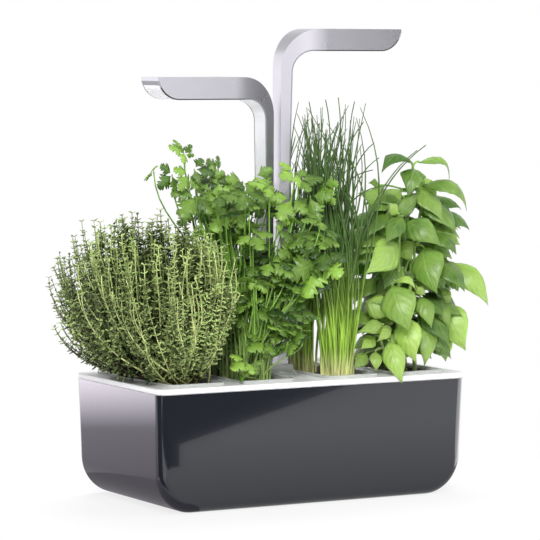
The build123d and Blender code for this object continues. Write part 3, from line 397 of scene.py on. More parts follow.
# %% Hard finish
def dress(finish, effect, bump, depth, sockets):
    """Feed a finish's shader with an effect's colour, roughness and height, and set the sockets named."""
    tree = finish.node_tree
    made = effect.outputs
    lift = add(tree, "Bump", {"Strength": bump, "Distance": depth, "Height": made["Height"]})
    inputs = {"Base Color": made["Colour"], "Roughness": made["Roughness"], "Normal": lift.outputs["Normal"]}
    inputs.update((label.replace("_", " "), value) for label, value in sockets.items())
    wire(tree, tree.nodes["Principled BSDF"], inputs)
    return finish


HARD_BUMP_DEPTH = 0.0004
finishes = {}


def hard_finish(
    name, colour, roughness, spread=0.06, shade=0.06, patch=30.0, grain=900.0, bump=0.02, **sockets
):
    finish = new_finish(name)
    tree = finish.node_tree
    inputs = {
        "Vector": add(tree, "TexCoord").outputs["Object"], "Colour": (*colour, 1), "Patch Scale": patch,
        "Grain Scale": grain, "Roughness": roughness, "Spread": spread, "Shade": shade,
    }
    effect = add(tree, "Group", inputs, node_tree=wander)
    finishes[name] = dress(finish, effect, bump, HARD_BUMP_DEPTH, sockets)


TUB_COAT = {"IOR": 1.5, "Coat_Weight": 0.8, "Coat_Roughness": 0.03}
hard_finish("tub_gloss", (0.015, 0.017, 0.023), 0.1, 0.05, 0.1, 14.0, 420.0, 0.012, **TUB_COAT)
hard_finish("tank_plastic", (0.14, 0.145, 0.15), 0.45)
hard_finish("deck_white", (0.88, 0.88, 0.89), 0.3, 0.08, 0.03, 40.0, 700.0, 0.03)
CLEAR = {"IOR": 1.46, "Transmission_Weight": 0.45}
hard_finish("tray_clear", (0.9, 0.92, 0.9), 0.14, 0.08, 0.04, 60.0, 500.0, 0.04, **CLEAR)
hard_finish("felt", (0.8, 0.78, 0.72), 0.9, 0.05, 0.15, 200.0, 2500.0, 0.6)
hard_finish("lamp_metal", (0.6, 0.59, 0.64), 0.28, 0.06, 0.05, 25.0, 900.0, 0.02, Metallic=0.85)
hard_finish("lamp_frame_dark", (0.03, 0.03, 0.034), 0.5)
hard_finish("opal_white", (0.94, 0.93, 0.98), 0.28, 0.06, 0.03, 50.0, 800.0, 0.03)
hard_finish("dark_plastic", (0.05, 0.05, 0.055), 0.45, bump=0.08)
hard_finish("board_white", (0.8, 0.81, 0.78), 0.4)
hard_finish("board_green", (0.03, 0.2, 0.09), 0.35, 0.08, 0.2, 300.0, 1500.0, 0.1)
hard_finish("led_yellow", (0.92, 0.78, 0.3), 0.25)
hard_finish("steel", (0.6, 0.6, 0.61), 0.32, 0.12, 0.08, 300.0, 2500.0, 0.1, Metallic=1.0)
hard_finish("rubber_black", (0.02, 0.02, 0.021), 0.75, 0.08, 0.2, 120.0, 1500.0, 0.2)
hard_finish("housing_plastic", (0.2, 0.21, 0.22), 0.5, bump=0.1)
hard_finish("float_white", (0.84, 0.84, 0.81), 0.7, 0.08, 0.05, 200.0, 1200.0, 0.3)
hard_finish("indicator_green", (0.2, 0.62, 0.3), 0.15)
hard_finish("growing_medium", (0.03, 0.023, 0.017), 0.88, 0.1, 1.6, 420.0, 1800.0, 0.9)

# %% Lamp trim, and a finish for every hard node
# The trim is dark under the heads. It turns to bare metal past each nose and grey down the posts.
NOSE, POST_EDGE, POST_BLEND, POST_SHARE = 0.1284, 0.05, 0.025, 0.85
TRIM_DARK, TRIM_BARE = (0.03, 0.03, 0.034, 1), (0.3, 0.3, 0.34, 1)
tree = finishes["lamp_frame_dark"].node_tree
trim_effect = next(node for node in tree.nodes if node.type == "GROUP")
trim_far = calc(tree, "ABSOLUTE", split(tree, add(tree, "TexCoord").outputs["Object"])["X"])
trim_post = calc(tree, "DIVIDE", calc(tree, "SUBTRACT", POST_EDGE, trim_far), POST_BLEND, True)
trim_lip = calc(tree, "GREATER_THAN", trim_far, NOSE)
trim_bare = calc(tree, "MAXIMUM", trim_lip, calc(tree, "MULTIPLY", trim_post, POST_SHARE))
wire(tree, trim_effect, {"Colour": blend(tree, trim_bare, TRIM_DARK, TRIM_BARE)})
slot_of = {part["node"]: part["material_slot"] for part in frame["record"]["subparts"]}
for node, obj in frame["nodes"].items():
    finish = finishes.get(slot_of[node])
    if finish is None:
        continue
    obj.data.materials.clear()
    obj.data.materials.append(finish)
print("finished nodes", sum(slot in finishes for slot in slot_of.values()), "of", len(slot_of))

# %% [markdown]
# ## Growing tools
# A herb is a few shapes repeated many times. Each leaf is modelled once, flat, from a grid whose rows are
# scaled to the leaf's outline. It is then laid along a curved spine as often as needed, each copy with its
# own length, width, bend and tint, and all copies of one kind make one mesh. Stalks are tapered tubes.


# %% Leaf copies
def master_arrays(master):
    """Vertex places, face corners and UVs of a modelled leaf, then the master goes."""
    mesh = master.data
    place = np.zeros(len(mesh.vertices) * 3)
    mesh.vertices.foreach_get("co", place)
    corners = np.zeros(len(mesh.loops), int)
    mesh.loops.foreach_get("vertex_index", corners)
    sides = np.zeros(len(mesh.polygons), int)
    mesh.polygons.foreach_get("loop_total", sides)
    flat = np.zeros(len(mesh.loops) * 2)
    if mesh.uv_layers:
        mesh.uv_layers[0].data.foreach_get("uv", flat)
    bpy.data.objects.remove(master)
    return place.reshape(-1, 3), corners, sides, flat.reshape(-1, 2)


def lay_leaves(shape, rows):
    """Each row, base, tip, width, bulge and facing, bends one copy of the leaf along its spine."""
    base, tip, width, arch, facing = rows[:, 0:3], rows[:, 3:6], rows[:, 6], rows[:, 7], rows[:, 8:11]
    chord = tip - base
    along = chord / np.linalg.norm(chord, axis=1, keepdims=True)
    normal = facing - along * np.sum(facing * along, axis=1, keepdims=True)
    normal /= np.maximum(np.linalg.norm(normal, axis=1, keepdims=True), 1e-9)
    side = np.cross(along, normal)[:, None]
    v = shape[None, :, 1:2]
    chord, normal = chord[:, None], normal[:, None]
    arch, width = arch[:, None, None], width[:, None, None]
    spine = base[:, None] + chord * v + normal * (4 * arch * v * (1 - v))
    slope = chord + normal * (4 * arch * (1 - 2 * v))
    slope = slope / np.linalg.norm(slope, axis=2, keepdims=True)
    lift = np.cross(side, slope)
    return spine + side * shape[None, :, 0:1] * width + lift * shape[None, :, 2:3] * width


def leaf_piece(name, arrays, rows, finish):
    """One mesh from all the copies of a leaf. A row's last number is that copy's tint."""
    shape, corners, sides, flat = arrays
    rows = np.array(rows, float)
    count, size = len(rows), len(shape)
    mesh = bpy.data.meshes.new(name)
    mesh.vertices.add(count * size)
    mesh.vertices.foreach_set("co", lay_leaves(shape, rows).ravel())
    mesh.loops.add(count * len(corners))
    steps = np.arange(count)[:, None]
    mesh.loops.foreach_set("vertex_index", (corners[None, :] + steps * size).ravel())
    mesh.polygons.add(count * len(sides))
    starts = np.concatenate(([0], np.cumsum(sides)[:-1]))
    mesh.polygons.foreach_set("loop_start", (starts[None, :] + steps * len(corners)).ravel())
    mesh.update(calc_edges=True)
    uv = mesh.uv_layers.new(name="UVMap")
    uv.data.foreach_set("uv", np.tile(flat, (count, 1)).ravel())
    tint = mesh.attributes.new("tint", "FLOAT", "POINT")
    tint.data.foreach_set("value", np.repeat(np.clip(rows[:, 11], 0, 1).astype(np.float32), size))
    mesh.polygons.foreach_set("use_smooth", np.ones(len(mesh.polygons), bool))
    mesh.materials.append(finish)
    mesh.validate()
    piece = bpy.data.objects.new(name, mesh)
    bpy.context.scene.collection.objects.link(piece)
    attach(piece, "garden")
    print(name, count, "copies,", sum(s - 2 for s in sides) * count, "triangles")
    return piece


# %% Stalk tubes
def stalk_piece(name, paths, finish, ring=1):
    """Tapered tubes in one mesh. Each path is a list of points with a radius each, all in metres."""
    curve = bpy.data.curves.new(name, "CURVE")
    curve.dimensions = "3D"
    curve.bevel_depth = 1.0
    curve.bevel_resolution = ring
    curve.use_fill_caps = True
    for points, radii in paths:
        spline = curve.splines.new("POLY")
        spline.points.add(len(points) - 1)
        spline.points.foreach_set("co", np.column_stack((points, np.ones(len(points)))).ravel())
        spline.points.foreach_set("radius", np.array(radii, float))
    tube = bpy.data.objects.new(name, curve)
    bpy.context.scene.collection.objects.link(tube)
    bpy.ops.object.select_all(action="DESELECT")
    bpy.context.view_layer.objects.active = tube
    tube.select_set(True)
    bpy.ops.object.convert(target="MESH")
    piece = bpy.context.object
    piece.name = name
    bpy.ops.object.shade_smooth()
    piece.data.materials.clear()
    piece.data.materials.append(finish)
    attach(piece, "garden")
    print(name, len(paths), "stalks,", len(piece.data.polygons) * 2, "triangles")
    return piece


def bend(start, start_pull, end_pull, finish_point, steps):
    """Points along a smooth bend that leaves start towards start_pull and reaches its end from end_pull."""
    t = np.linspace(0, 1, steps)[:, None]
    a, b, c, d = (np.array(p, float) for p in (start, start_pull, end_pull, finish_point))
    return (1 - t) ** 3 * a + 3 * (1 - t) ** 2 * t * b + 3 * (1 - t) * t**2 * c + t**3 * d


# %% Leaf and stalk finishes
LEAF_BUMP_DEPTH = 0.0006


def plant_finish(name, skin, bump, values, **sockets):
    finish = new_finish(name)
    tree = finish.node_tree
    inputs = {"Object": add(tree, "TexCoord").outputs["Object"]}
    if skin == leaf_skin:
        inputs["UV"] = add(tree, "UVMap").outputs["UV"]
        inputs["Tint"] = add(tree, "Attribute", attribute_name="tint").outputs["Fac"]
    for label, value in values.items():
        inputs[label] = (*value, 1) if isinstance(value, tuple) else value
    return dress(finish, add(tree, "Group", inputs, node_tree=skin), bump, LEAF_BUMP_DEPTH, sockets)


def leaf_finish(name, bump, deep, fresh_and_lit, vein, count, show, blotch, **sockets):
    values = {"Deep And Shaded": deep, "Fresh And Lit": fresh_and_lit, "Vein": vein}
    values.update({"Vein Count": count, "Vein Show": show, "Blotch Scale": blotch})
    return plant_finish(name, leaf_skin, bump, values, **sockets)


def stalk_finish(name, bump, low, middle, high, heights, tint):
    """Three colours up the plant, each with the height where it is reached."""
    values = {"Low": low, "Middle": middle, "High": high, "Tint": tint}
    values.update(zip(("Low Height", "Middle Height", "High Height"), heights))
    return plant_finish(name, stalk_skin, bump, values)


# %% Modelling a leaf from a grid
CUP_CURVE, PUCKER_ALONG, PUCKER_ACROSS, PUCKER_SPREAD = 1.6, 22, 7, 3
SAME_PLACE = 1e-4


def grid_leaf(name, columns, outline, cup, pucker, thickness, forward=0.0):
    """A unit leaf along +Y: a grid's rows are scaled to the outline, then cupped and given a thickness."""
    rows = len(outline) - 1
    bpy.ops.object.select_all(action="DESELECT")
    bpy.ops.mesh.primitive_grid_add(x_subdivisions=columns, y_subdivisions=rows, size=1.0)
    leaf = bpy.context.object
    leaf.name = name
    bpy.ops.object.mode_set(mode="EDIT")
    bpy.ops.mesh.select_mode(type="VERT")
    bm = bmesh.from_edit_mesh(leaf.data)
    for row, share in enumerate(outline):
        level = row / rows - 0.5
        for vertex in bm.verts:
            vertex.select = abs(vertex.co.y - level) < SAME_PLACE
        bm.select_flush_mode()
        bpy.ops.transform.resize(value=(share, 1, 1), center_override=(0, level, 0))
    bpy.ops.mesh.select_all(action="SELECT")
    bpy.ops.transform.translate(value=(0, 0.5, 0))
    for vertex in bm.verts:
        reach = abs(vertex.co.x) * 2
        vertex.co.z -= cup * reach**CUP_CURVE
        ripple = math.sin(vertex.co.y * PUCKER_ALONG - reach * PUCKER_ACROSS)
        vertex.co.z += pucker * ripple * min(1, reach * PUCKER_SPREAD) * (1 - vertex.co.y)
        vertex.co.y += forward * reach
    bmesh.update_edit_mesh(leaf.data)
    bpy.ops.mesh.remove_doubles(threshold=SAME_PLACE)
    bpy.ops.object.mode_set(mode="OBJECT")
    skin = leaf.modifiers.new("skin", "SOLIDIFY")
    skin.thickness = thickness
    skin.offset = 0
    bpy.ops.object.modifier_apply(modifier="skin")
    return leaf


def unit(vector):
    return vector / np.linalg.norm(vector)


def turned(along, roll):
    """The way a leaf faces: towards the viewer's side, rolled about its length towards the sky."""
    along = unit(np.array(along, float))
    viewer = np.array(TO_CAMERA)
    ahead = unit(viewer - along * (viewer @ along))
    sky = np.cross(along, ahead)
    if sky[2] < 0:
        sky = -sky
    return ahead * math.cos(math.radians(roll)) + sky * math.sin(math.radians(roll))

# %% [markdown]
# ## Soil
# Each tray is filled with a dark, crumbly growing medium a few millimetres below its lip. A fine grid with
# its corners cut off and its points shaken gives the surface, and small lumps lie on it.

# %% Soil surfaces
TRAY_X = (-0.1195, -0.0455, 0.0455, 0.1195)
THYME_X, PARSLEY_X, _, BASIL_X = TRAY_X
HERBS = ("thyme", "parsley", "chives", "basil")
SOIL_LIFT, SOIL_CUT, SOIL_SHAKE, SOIL_CRUST = 0.0003, 0.002, 0.0011, 0.0012
for index, (herb, x) in enumerate(zip(HERBS, TRAY_X)):
    low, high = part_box(herb + "_growing_block")
    level = high.z + SOIL_LIFT
    bpy.ops.object.select_all(action="DESELECT")
    bpy.ops.mesh.primitive_grid_add(x_subdivisions=24, y_subdivisions=66, size=1.0, location=(x, 0, level))
    soil = bpy.context.object
    soil.name = herb + "_soil"
    soil.scale = (high.x - low.x, high.y - low.y, 1)
    bpy.ops.object.transform_apply(location=True, scale=True)
    bpy.ops.object.mode_set(mode="EDIT")
    half_x, half_y = (high.x - low.x) / 2, (high.y - low.y) / 2
    for across_way in (-1, 1):
        for along_way in (-1, 1):
            bpy.ops.mesh.select_all(action="SELECT")
            bpy.ops.mesh.bisect(
                plane_co=(x + across_way * (half_x - SOIL_CUT), along_way * (half_y - SOIL_CUT), level),
                plane_no=(across_way, along_way, 0),
                clear_outer=True,
            )
    bpy.ops.mesh.select_all(action="SELECT")
    bpy.ops.transform.vertex_random(offset=SOIL_SHAKE, uniform=0.0, normal=0.9, seed=11 + index)
    bpy.ops.mesh.vertices_smooth(factor=0.35)
    bpy.ops.object.mode_set(mode="OBJECT")
    crust = soil.modifiers.new("crust", "SOLIDIFY")
    crust.thickness = SOIL_CRUST
    crust.offset = 1
    bpy.ops.object.modifier_apply(modifier="crust")
    bpy.ops.object.shade_smooth()
    soil.data.materials.clear()
    soil.data.materials.append(finishes["growing_medium"])
    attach(soil, "garden")
print("soil surfaces", len(HERBS))


# %% Soil crumbs
def vary(low, high):
    """A random draw, from whichever seeded luck the herb at hand uses."""
    return luck.uniform(low, high)


CRUMBS_PER_TRAY, CRUMB_LEVEL = 230, 0.1131
bpy.ops.mesh.primitive_ico_sphere_add(subdivisions=1, radius=0.5)
crumb = bpy.context.object
bpy.ops.object.mode_set(mode="EDIT")
bpy.ops.transform.vertex_random(offset=0.16, seed=3)
bpy.ops.object.mode_set(mode="OBJECT")
crumb_arrays = master_arrays(crumb)
luck = random.Random(41)
crumbs = []
for x in TRAY_X:
    for _ in range(CRUMBS_PER_TRAY):
        base = np.array((x + vary(-0.0245, 0.0245), vary(-0.0705, 0.0705), CRUMB_LEVEL))
        size = vary(0.0009, 0.0026)
        way = np.array((luck.gauss(0, 1), luck.gauss(0, 1), luck.gauss(0, 0.3)))
        tip = base + unit(way) * size
        crumbs.append((*base, *tip, size, 0, 0, 0, 1, luck.random()))
leaf_piece("soil_crumbs", crumb_arrays, crumbs, finishes["growing_medium"])

# %% [markdown]
# ## Basil
# Basil carries large, glossy leaves in crossing pairs. Every visible leaf has its own row: where it leaves
# its stalk, where its tip hangs, its width, how far it bulges and how it is rolled. A negative roll turns
# it from the light. The rest of the bush is filled with leaves of the same kind facing out and up.

# %% Basil leaf shape
BASIL_OUTLINE = (0.07, 0.55, 0.82, 0.96, 1.0, 0.98, 0.92, 0.82, 0.68, 0.5, 0.31, 0.14, 0.01)
basil_arrays = master_arrays(grid_leaf("basil_leaf", 8, BASIL_OUTLINE, 0.16, 0.03, 0.016))
LEAF_GLOW = {"Subsurface_Scale": 0.003, "Subsurface_Radius": (0.5, 1.0, 0.15)}
basil_finish = leaf_finish(
    "basil_leaf", 0.8, (0.05, 0.135, 0.01), (0.43, 0.66, 0.125), (0.52, 0.7, 0.22), 5.0, 0.2, 45.0,
    Subsurface_Weight=0.2, Coat_Weight=0.4, Coat_Roughness=0.4, **LEAF_GLOW,
)

# %% Basil leaves, in millimetres: stalk end, tip, width, bulge, roll
MM = 0.001
BASIL_LEAVES = (
    (89, -72, 199, 96, -92, 158, 31, 6, 0), (91, -74, 204, 104, -90, 196, 12, 7, 62),
    (104, -58, 238, 58, -74, 212, 27, 6, -8), (110, -56, 263, 80, -74, 239, 18, 4, 10),
    (112, -58, 258, 136, -84, 236, 23, 9, 18), (132, -60, 233, 132, -84, 191, 31, 7, -12),
    (138, -34, 306, 116, -56, 280, 22, 10, 0), (134, -30, 313, 94, -44, 305, 23, 10, 66),
    (145, -30, 313, 173, -40, 295, 21, 12, 68), (147, -36, 292, 183, -56, 267, 23, 13, 62),
    (150, -26, 298, 166, -30, 274, 17, 5, -10), (105, -56, 266, 92, -60, 277, 10, 1, 20),
    (106, -56, 266, 129, -50, 284, 15, 4, -15), (148, -30, 262, 167, -36, 270, 17, 5, 25),
    (149, -34, 259, 166, -48, 254, 13, 5, 60), (177, -24, 241, 190, -34, 233, 13, 4, 15),
    (173, -44, 216, 202, -66, 176, 21, 12, 30), (174, -44, 202, 178, -50, 189, 9, 2, 40),
    (78, -44, 182, 104, -52, 170, 21, 5, 15), (86, -62, 162, 51, -72, 157, 13, 4, 10),
    (91, -66, 159, 69, -78, 148, 10, 3, 0), (79, -58, 150, 58, -66, 140, 12, 3, 0),
    (71, -56, 135, 54, -62, 121, 12, 2, 0), (76, -64, 137, 72, -72, 119, 11, 3, 0),
    (85, -74, 147, 89, -91, 109, 19, 5, 5), (106, -66, 168, 110, -82, 127, 25, 6, -8),
    (141, -52, 163, 131, -64, 121, 19, 5, -20), (127, -62, 187, 131, -76, 158, 16, 5, 12),
    (155, -50, 179, 160, -62, 156, 13, 4, 10), (168, -40, 177, 182, -58, 133, 29, 7, -12),
    (123, -62, 196, 130, -66, 189, 8, 1, 0), (114, -20, 272, 78, -28, 285, 25, 8, 12),
    (108, -16, 291, 94, -20, 294, 10, 3, 30), (97, -58, 152, 108, -64, 135, 12, 3, 0),
    (164, -40, 191, 171, -46, 176, 13, 3, 0), (116, -40, 219, 95, -48, 194, 23, 5, 0),
    (132, -36, 218, 145, -44, 205, 19, 5, 20), (126, -34, 239, 130, -42, 219, 21, 5, -20),
    (164, -24, 246, 175, -34, 217, 23, 6, -10), (158, -30, 217, 168, -40, 188, 21, 6, 0),
    (130, -40, 186, 106, -52, 163, 21, 6, 0), (119, -24, 249, 91, -32, 238, 21, 5, 20),
    (124, -30, 281, 100, -40, 260, 21, 6, 0), (174, -16, 280, 179, -26, 255, 19, 5, -20),
    (148, -36, 152, 160, -46, 131, 19, 4, 10), (125, -44, 140, 107, -52, 125, 15, 3, 0),
    (171, -30, 146, 171, -40, 121, 17, 4, 0),
)
BASIL_BREADTH, BASIL_BULGE = 1.14, 1.3
DARK_FROM, DARK_OVER = 0.24, 0.05
luck = random.Random(7)
basil_rows = []
for *ends, width, arch, roll in BASIL_LEAVES:
    base, tip = np.array(ends[0:3]) * MM, np.array(ends[3:6]) * MM
    width, arch = width * MM * BASIL_BREADTH, arch * MM * BASIL_BULGE
    shade = vary(0.3, 0.95) - 0.35 * min(1, max(0, (base[2] - DARK_FROM) / DARK_OVER))
    facing = turned(tip - base, roll + vary(-12, 12))
    basil_rows.append((*base, *tip, width, arch, *facing, shade))


# %% Basil leaves at the sides and back
def outward(turn, rise):
    return np.array((math.cos(turn), math.sin(turn), rise))


BASIL_HEART = np.array((0.134, -0.028, 0.0))
SIDE_LEAVES, BACK_LEAVES = 120, 70
BASIL_RIGHT, BASIL_BACK = 0.2, 0.038
for number in range(SIDE_LEAVES + BACK_LEAVES):
    at_side = number < SIDE_LEAVES
    turn = math.radians(vary(-75, 200))
    level = vary(0.138, 0.292 if at_side else 0.262)
    spread = 0.04 * math.sin((level - 0.09) / 0.24 * math.pi) + 0.004
    out = outward(turn, 0.0)
    back = 0 if at_side else vary(0.01, 0.045)
    base = BASIL_HEART + out * spread * vary(0.1, 1.0) * (1, 0.7, 1) + (0, back, level)
    size = vary(0.028, 0.046)
    tip = base + out * size * 0.72 + (0, 0, -size * vary(0.2, 0.8))
    tip[0:2] = min(tip[0], BASIL_RIGHT), min(tip[1], BASIL_BACK)
    facing = out * 0.8 + np.array((-0.25, -0.45, 0.9))
    width = size * vary(0.62, 0.8)
    # Painted shade: leaves at the sides and back take low tints, so they are drawn darker than the front
    # leaves.
    basil_rows.append((*base, *tip, width, size * 0.14, *facing, vary(0.0, 0.5)))
basil = leaf_piece("basil_leaves", basil_arrays, basil_rows, basil_finish)
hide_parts("basil_plant")

# %% Basil stalks
basil_stalk_finish = stalk_finish(
    "basil_stalk", 0.2, (0.3, 0.36, 0.12), (0.27, 0.42, 0.1), (0.25, 0.45, 0.08), (0.12, 0.18, 0.28), 0.3
)
ROOT_LEVEL = 0.112
BASIL_TOPS = (
    (0.108, -0.054, 0.262), (0.138, -0.03, 0.31), (0.15, -0.03, 0.29),
    (0.092, -0.068, 0.2), (0.128, -0.05, 0.235), (0.17, -0.03, 0.24),
    (0.126, 0.012, 0.272), (0.15, 0.018, 0.24), (0.118, 0.03, 0.22),
    (0.14, 0.0, 0.262), (0.084, -0.06, 0.158),
)
basil_paths, basil_line = [], []
for top in BASIL_TOPS:
    root = np.array((BASIL_X + vary(-0.012, 0.012), vary(-0.036, 0.02), ROOT_LEVEL))
    root[1] = min(max(root[1], top[1] - 0.02), top[1] + 0.02)
    path = bend(root, root + (0, 0, 0.06), np.array(top) - (0, 0, 0.05), top, 14)
    basil_paths.append((path, np.linspace(0.0024, 0.0013, 14)))
    basil_line.extend(path)
basil_line = np.array(basil_line)
for joint in np.array(basil_rows)[:, 0:3]:
    lower = basil_line[basil_line[:, 2] < joint[2] + 0.002]
    drop = np.abs(lower[:, 2] - joint[2] + 0.008)
    nearest = lower[np.argmin(np.linalg.norm(lower - joint, axis=1) + 0.25 * drop)]
    path = bend(nearest, nearest * 0.5 + joint * 0.5 + (0, 0, 0.004), joint + (0, 0, 0.002), joint, 6)
    basil_paths.append((path, np.linspace(0.0011, 0.0008, 6)))
stalk_piece("basil_stalks", basil_paths, basil_stalk_finish)

# %% [markdown]
# ## Parsley
# Flat-leaf parsley sends long stalks up from its crown, and each ends in leaflets in threes. A leaflet is a
# grid whose rows are scaled to a toothed, lobed outline and pushed forward at their ends. Rows place the
# leaves that show; a seeded scatter adds those behind them.

# %% Parsley leaflet shape
LEAFLET_OUTLINE = (0.04, 0.1, 0.36, 0.86, 0.98, 0.56, 0.84, 0.7, 0.28, 0.5, 0.62, 0.36, 0.44, 0.24, 0.02)
leaflet_arrays = master_arrays(grid_leaf("parsley_leaflet", 2, LEAFLET_OUTLINE, 0.1, 0.05, 0.018, 0.2))
parsley_finish = leaf_finish(
    "parsley_leaf", 0.4, (0.016, 0.055, 0.004), (0.35, 0.6, 0.08), (0.37, 0.6, 0.14), 4.0, 0.25, 60.0,
    Subsurface_Weight=0.15, Coat_Weight=0.3, Coat_Roughness=0.35,
    **{**LEAF_GLOW, "Subsurface_Scale": 0.002},
)

# %% Parsley leaves, in millimetres: joint, tip of the middle leaflet (x and z), size, roll
PARSLEY_LEAVES = (
    (-106, -20, 326, -130, 333, 0.75, 30), (-105, -20, 324, -100, 336, 0.75, 0),
    (-118, -20, 306, -140, 290, 0.75, -10), (-103, -24, 306, -118, 290, 0.9, 10),
    (-137, -20, 309, -159, 298, 0.6, 70), (-98, -26, 311, -77, 305, 0.85, 20),
    (-98, -30, 286, -117, 268, 1.1, 0), (-80, -24, 303, -69, 307, 1.0, 20),
    (-88, -34, 289, -80, 270, 1.2, 0), (-70, -30, 295, -88, 280, 1.2, 10),
    (-60, -30, 300, -69, 286, 1.0, -10), (-49, -30, 299, -60, 279, 1.1, 0),
    (-36, -30, 303, -23, 289, 1.1, 10), (-47, -30, 285, -35, 269, 1.2, 0),
    (-65, -34, 273, -84, 258, 1.2, 0), (-47, -34, 266, -62, 253, 1.1, 0),
    (-59, -60, 278, -44, 274, 0.6, 60), (-22, -30, 285, -18, 268, 1.0, 0),
    (-27, -56, 262, -16, 261, 0.9, 20), (-12, -62, 307, -32, 303, 1.0, 15),
    (-10, -66, 300, 9, 303, 1.1, 20), (-14, -60, 283, -29, 268, 1.2, 0),
    (4, -64, 286, 5, 267, 1.3, 0), (18, -64, 297, 24, 277, 1.0, -20),
    (-13, -70, 239, -36, 232, 1.1, 10), (-6, -72, 243, 2, 234, 1.2, 0),
    (3, -84, 226, -15, 200, 1.2, 0), (4, -84, 225, 10, 212, 1.0, 0),
    (3, -82, 227, -27, 217, 1.2, 10), (-9, -58, 254, 4, 248, 1.0, 10),
    (-18, -56, 203, -29, 187, 1.0, 0), (-28, -66, 176, -55, 176, 1.1, 20),
    (-26, -66, 176, -8, 172, 1.1, 20), (-31, -60, 184, -44, 191, 0.8, 10),
    (-52, -62, 211, -46, 198, 1.0, 10), (-27, -60, 164, -37, 150, 1.0, -20),
    (-44, -66, 151, -67, 147, 1.0, 10), (-48, -62, 140, -41, 147, 0.8, 10),
    (-67, -70, 135, -88, 129, 0.9, 10), (-72, -72, 124, -78, 116, 0.8, 0),
    (-59, -68, 133, -58, 120, 0.8, 0), (-18, -36, 237, -33, 221, 1.1, 0),
    (-38, -30, 246, -51, 231, 1.1, 0), (-48, -14, 236, -63, 251, 1.0, 0),
    (-85, -14, 270, -74, 277, 1.1, 10), (-25, -30, 215, -18, 202, 1.0, 0),
    (-65, -10, 306, -80, 318, 1.0, 0), (-86, -6, 293, -78, 304, 1.0, 0),
    (-62, -10, 276, -50, 262, 1.1, 0),
)
LEAFLETS = ((0, 1.0), (-1, 0.78), (1, 0.78))
luck = random.Random(19)
leaflet_rows, parsley_joints = [], []


def lay_parsley(joint, tip, facing, tint):
    """Three leaflets from one joint: a long middle one and two to the sides."""
    joint, tip = np.array(joint, float), np.array(tip, float)
    along = tip - joint
    reach = np.linalg.norm(along)
    normal = unit(facing - along * (facing @ along) / reach**2)
    side = np.cross(along / reach, normal)
    for way, share in LEAFLETS:
        heading = unit(along / reach * (1.0 if way == 0 else 0.42) + side * way * 0.9)
        start = joint + heading * reach * 0.12
        end = joint + heading * reach * share + normal * vary(-0.12, 0.05) * reach
        shade = tint + vary(-0.12, 0.12)
        leaflet_rows.append((*start, *end, reach * share * 0.84, reach * 0.07, *normal, shade))
    parsley_joints.append(joint)


TIP_FORWARD = 8
for *joint, tip_x, tip_z, size, roll in PARSLEY_LEAVES:
    joint, tip = np.array(joint) * MM, np.array((tip_x, joint[1] - TIP_FORWARD, tip_z)) * MM
    tip = joint + (tip - joint) * size
    lay_parsley(joint, tip, turned(tip - joint, roll + vary(-35, 45)), vary(0.1, 0.85))

# %% Parsley leaves behind
MIDDLE_SPRAYS, BACK_SPRAYS = 106, 59
for number in range(MIDDLE_SPRAYS + BACK_SPRAYS):
    level = vary(0.15, 0.312)
    back = vary(-1, 1)
    if number >= MIDDLE_SPRAYS:
        level = vary(0.14, 0.29)
        place = np.array((vary(-0.064, -0.026), vary(-0.01, 0.05), level))
    elif level > 0.275:
        place = np.array((vary(-0.088, -0.03), -0.014 + back * 0.055, level - 0.012))
    elif luck.random() < 0.3:
        share = (level - 0.15) / 0.15
        west = -0.02 + 0.03 * share + vary(-0.012, 0.012)
        place = np.array((west, -0.07 - 0.012 * share + back * 0.012, level))
    else:
        place = np.array((-0.043 + vary(-0.018, 0.018), -0.014 + back * 0.066, level))
    turn = vary(0, 2 * math.pi)
    out = outward(turn, vary(-0.7, 0.3))
    reach = vary(0.015, 0.026)
    tip = place + out * reach
    if abs(tip[0]) < 0.017 and -0.024 < tip[1] < 0.022:
        continue
    # Painted shade: the leaves behind take lower tints than the leaves in front, so they are drawn darker.
    lay_parsley(place, tip, np.array((out[0] * 0.4 - 0.3, out[1] * 0.4 - 0.5, 1.0)), vary(0.0, 0.6))
parsley = leaf_piece("parsley_leaves", leaflet_arrays, leaflet_rows, parsley_finish)
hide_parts("parsley_plant")

# %% Parsley stalks, which pass the lamp posts at their sides
parsley_stalk_finish = stalk_finish(
    "parsley_stalk", 0.15, (0.3, 0.42, 0.12), (0.24, 0.44, 0.07), (0.2, 0.42, 0.05), (0.12, 0.17, 0.27), 0.3
)
POST_SIDE, POST_FRONT, POST_BACK = 0.0185, -0.022, 0.02
parsley_paths = []
for joint in parsley_joints:
    root = np.array((PARSLEY_X + vary(-0.012, 0.012), vary(-0.048, 0.036), ROOT_LEVEL))
    if joint[1] < -0.055:
        root[1] = vary(-0.06, -0.03)
    rise = joint[2] - root[2]
    path = bend(root, root + (0, 0, rise * 0.55), joint - np.array((0, 0, rise * 0.3)), joint, 14)
    near_post = (np.abs(path[:, 0]) < POST_SIDE) & (path[:, 1] > POST_FRONT) & (path[:, 1] < POST_BACK)
    path[near_post, 0] = np.where(path[near_post, 0] < 0, -POST_SIDE, POST_SIDE)
    parsley_paths.append((path, np.linspace(0.0011, 0.0006, 14)))
stalk_piece("parsley_stalks", parsley_paths, parsley_stalk_finish)

# %% [markdown]
# ## Chives
# Chives are hollow grass-like tubes, pinkish white at the soil, yellow green above and dark at the tips.
# They rise in two clumps, close together at the foot, and cross and splay near the top.

# %% Chives
chives_finish = stalk_finish(
    "chives_blade", 0.1, (0.9, 0.85, 0.42), (0.3, 0.5, 0.05), (0.042, 0.105, 0.018),
    (0.11, 0.143, 0.245), 0.15,
)
CHIVES_CLUMPS = ((0.043, -0.05, 0.0165, 0.013, 98), (0.036, 0.006, 0.011, 0.022, 84))
TALLEST_BLADE = 0.264
MAST_SIDE, BASIL_SIDE = 0.0195, 0.1065
luck = random.Random(23)
chives_paths = []


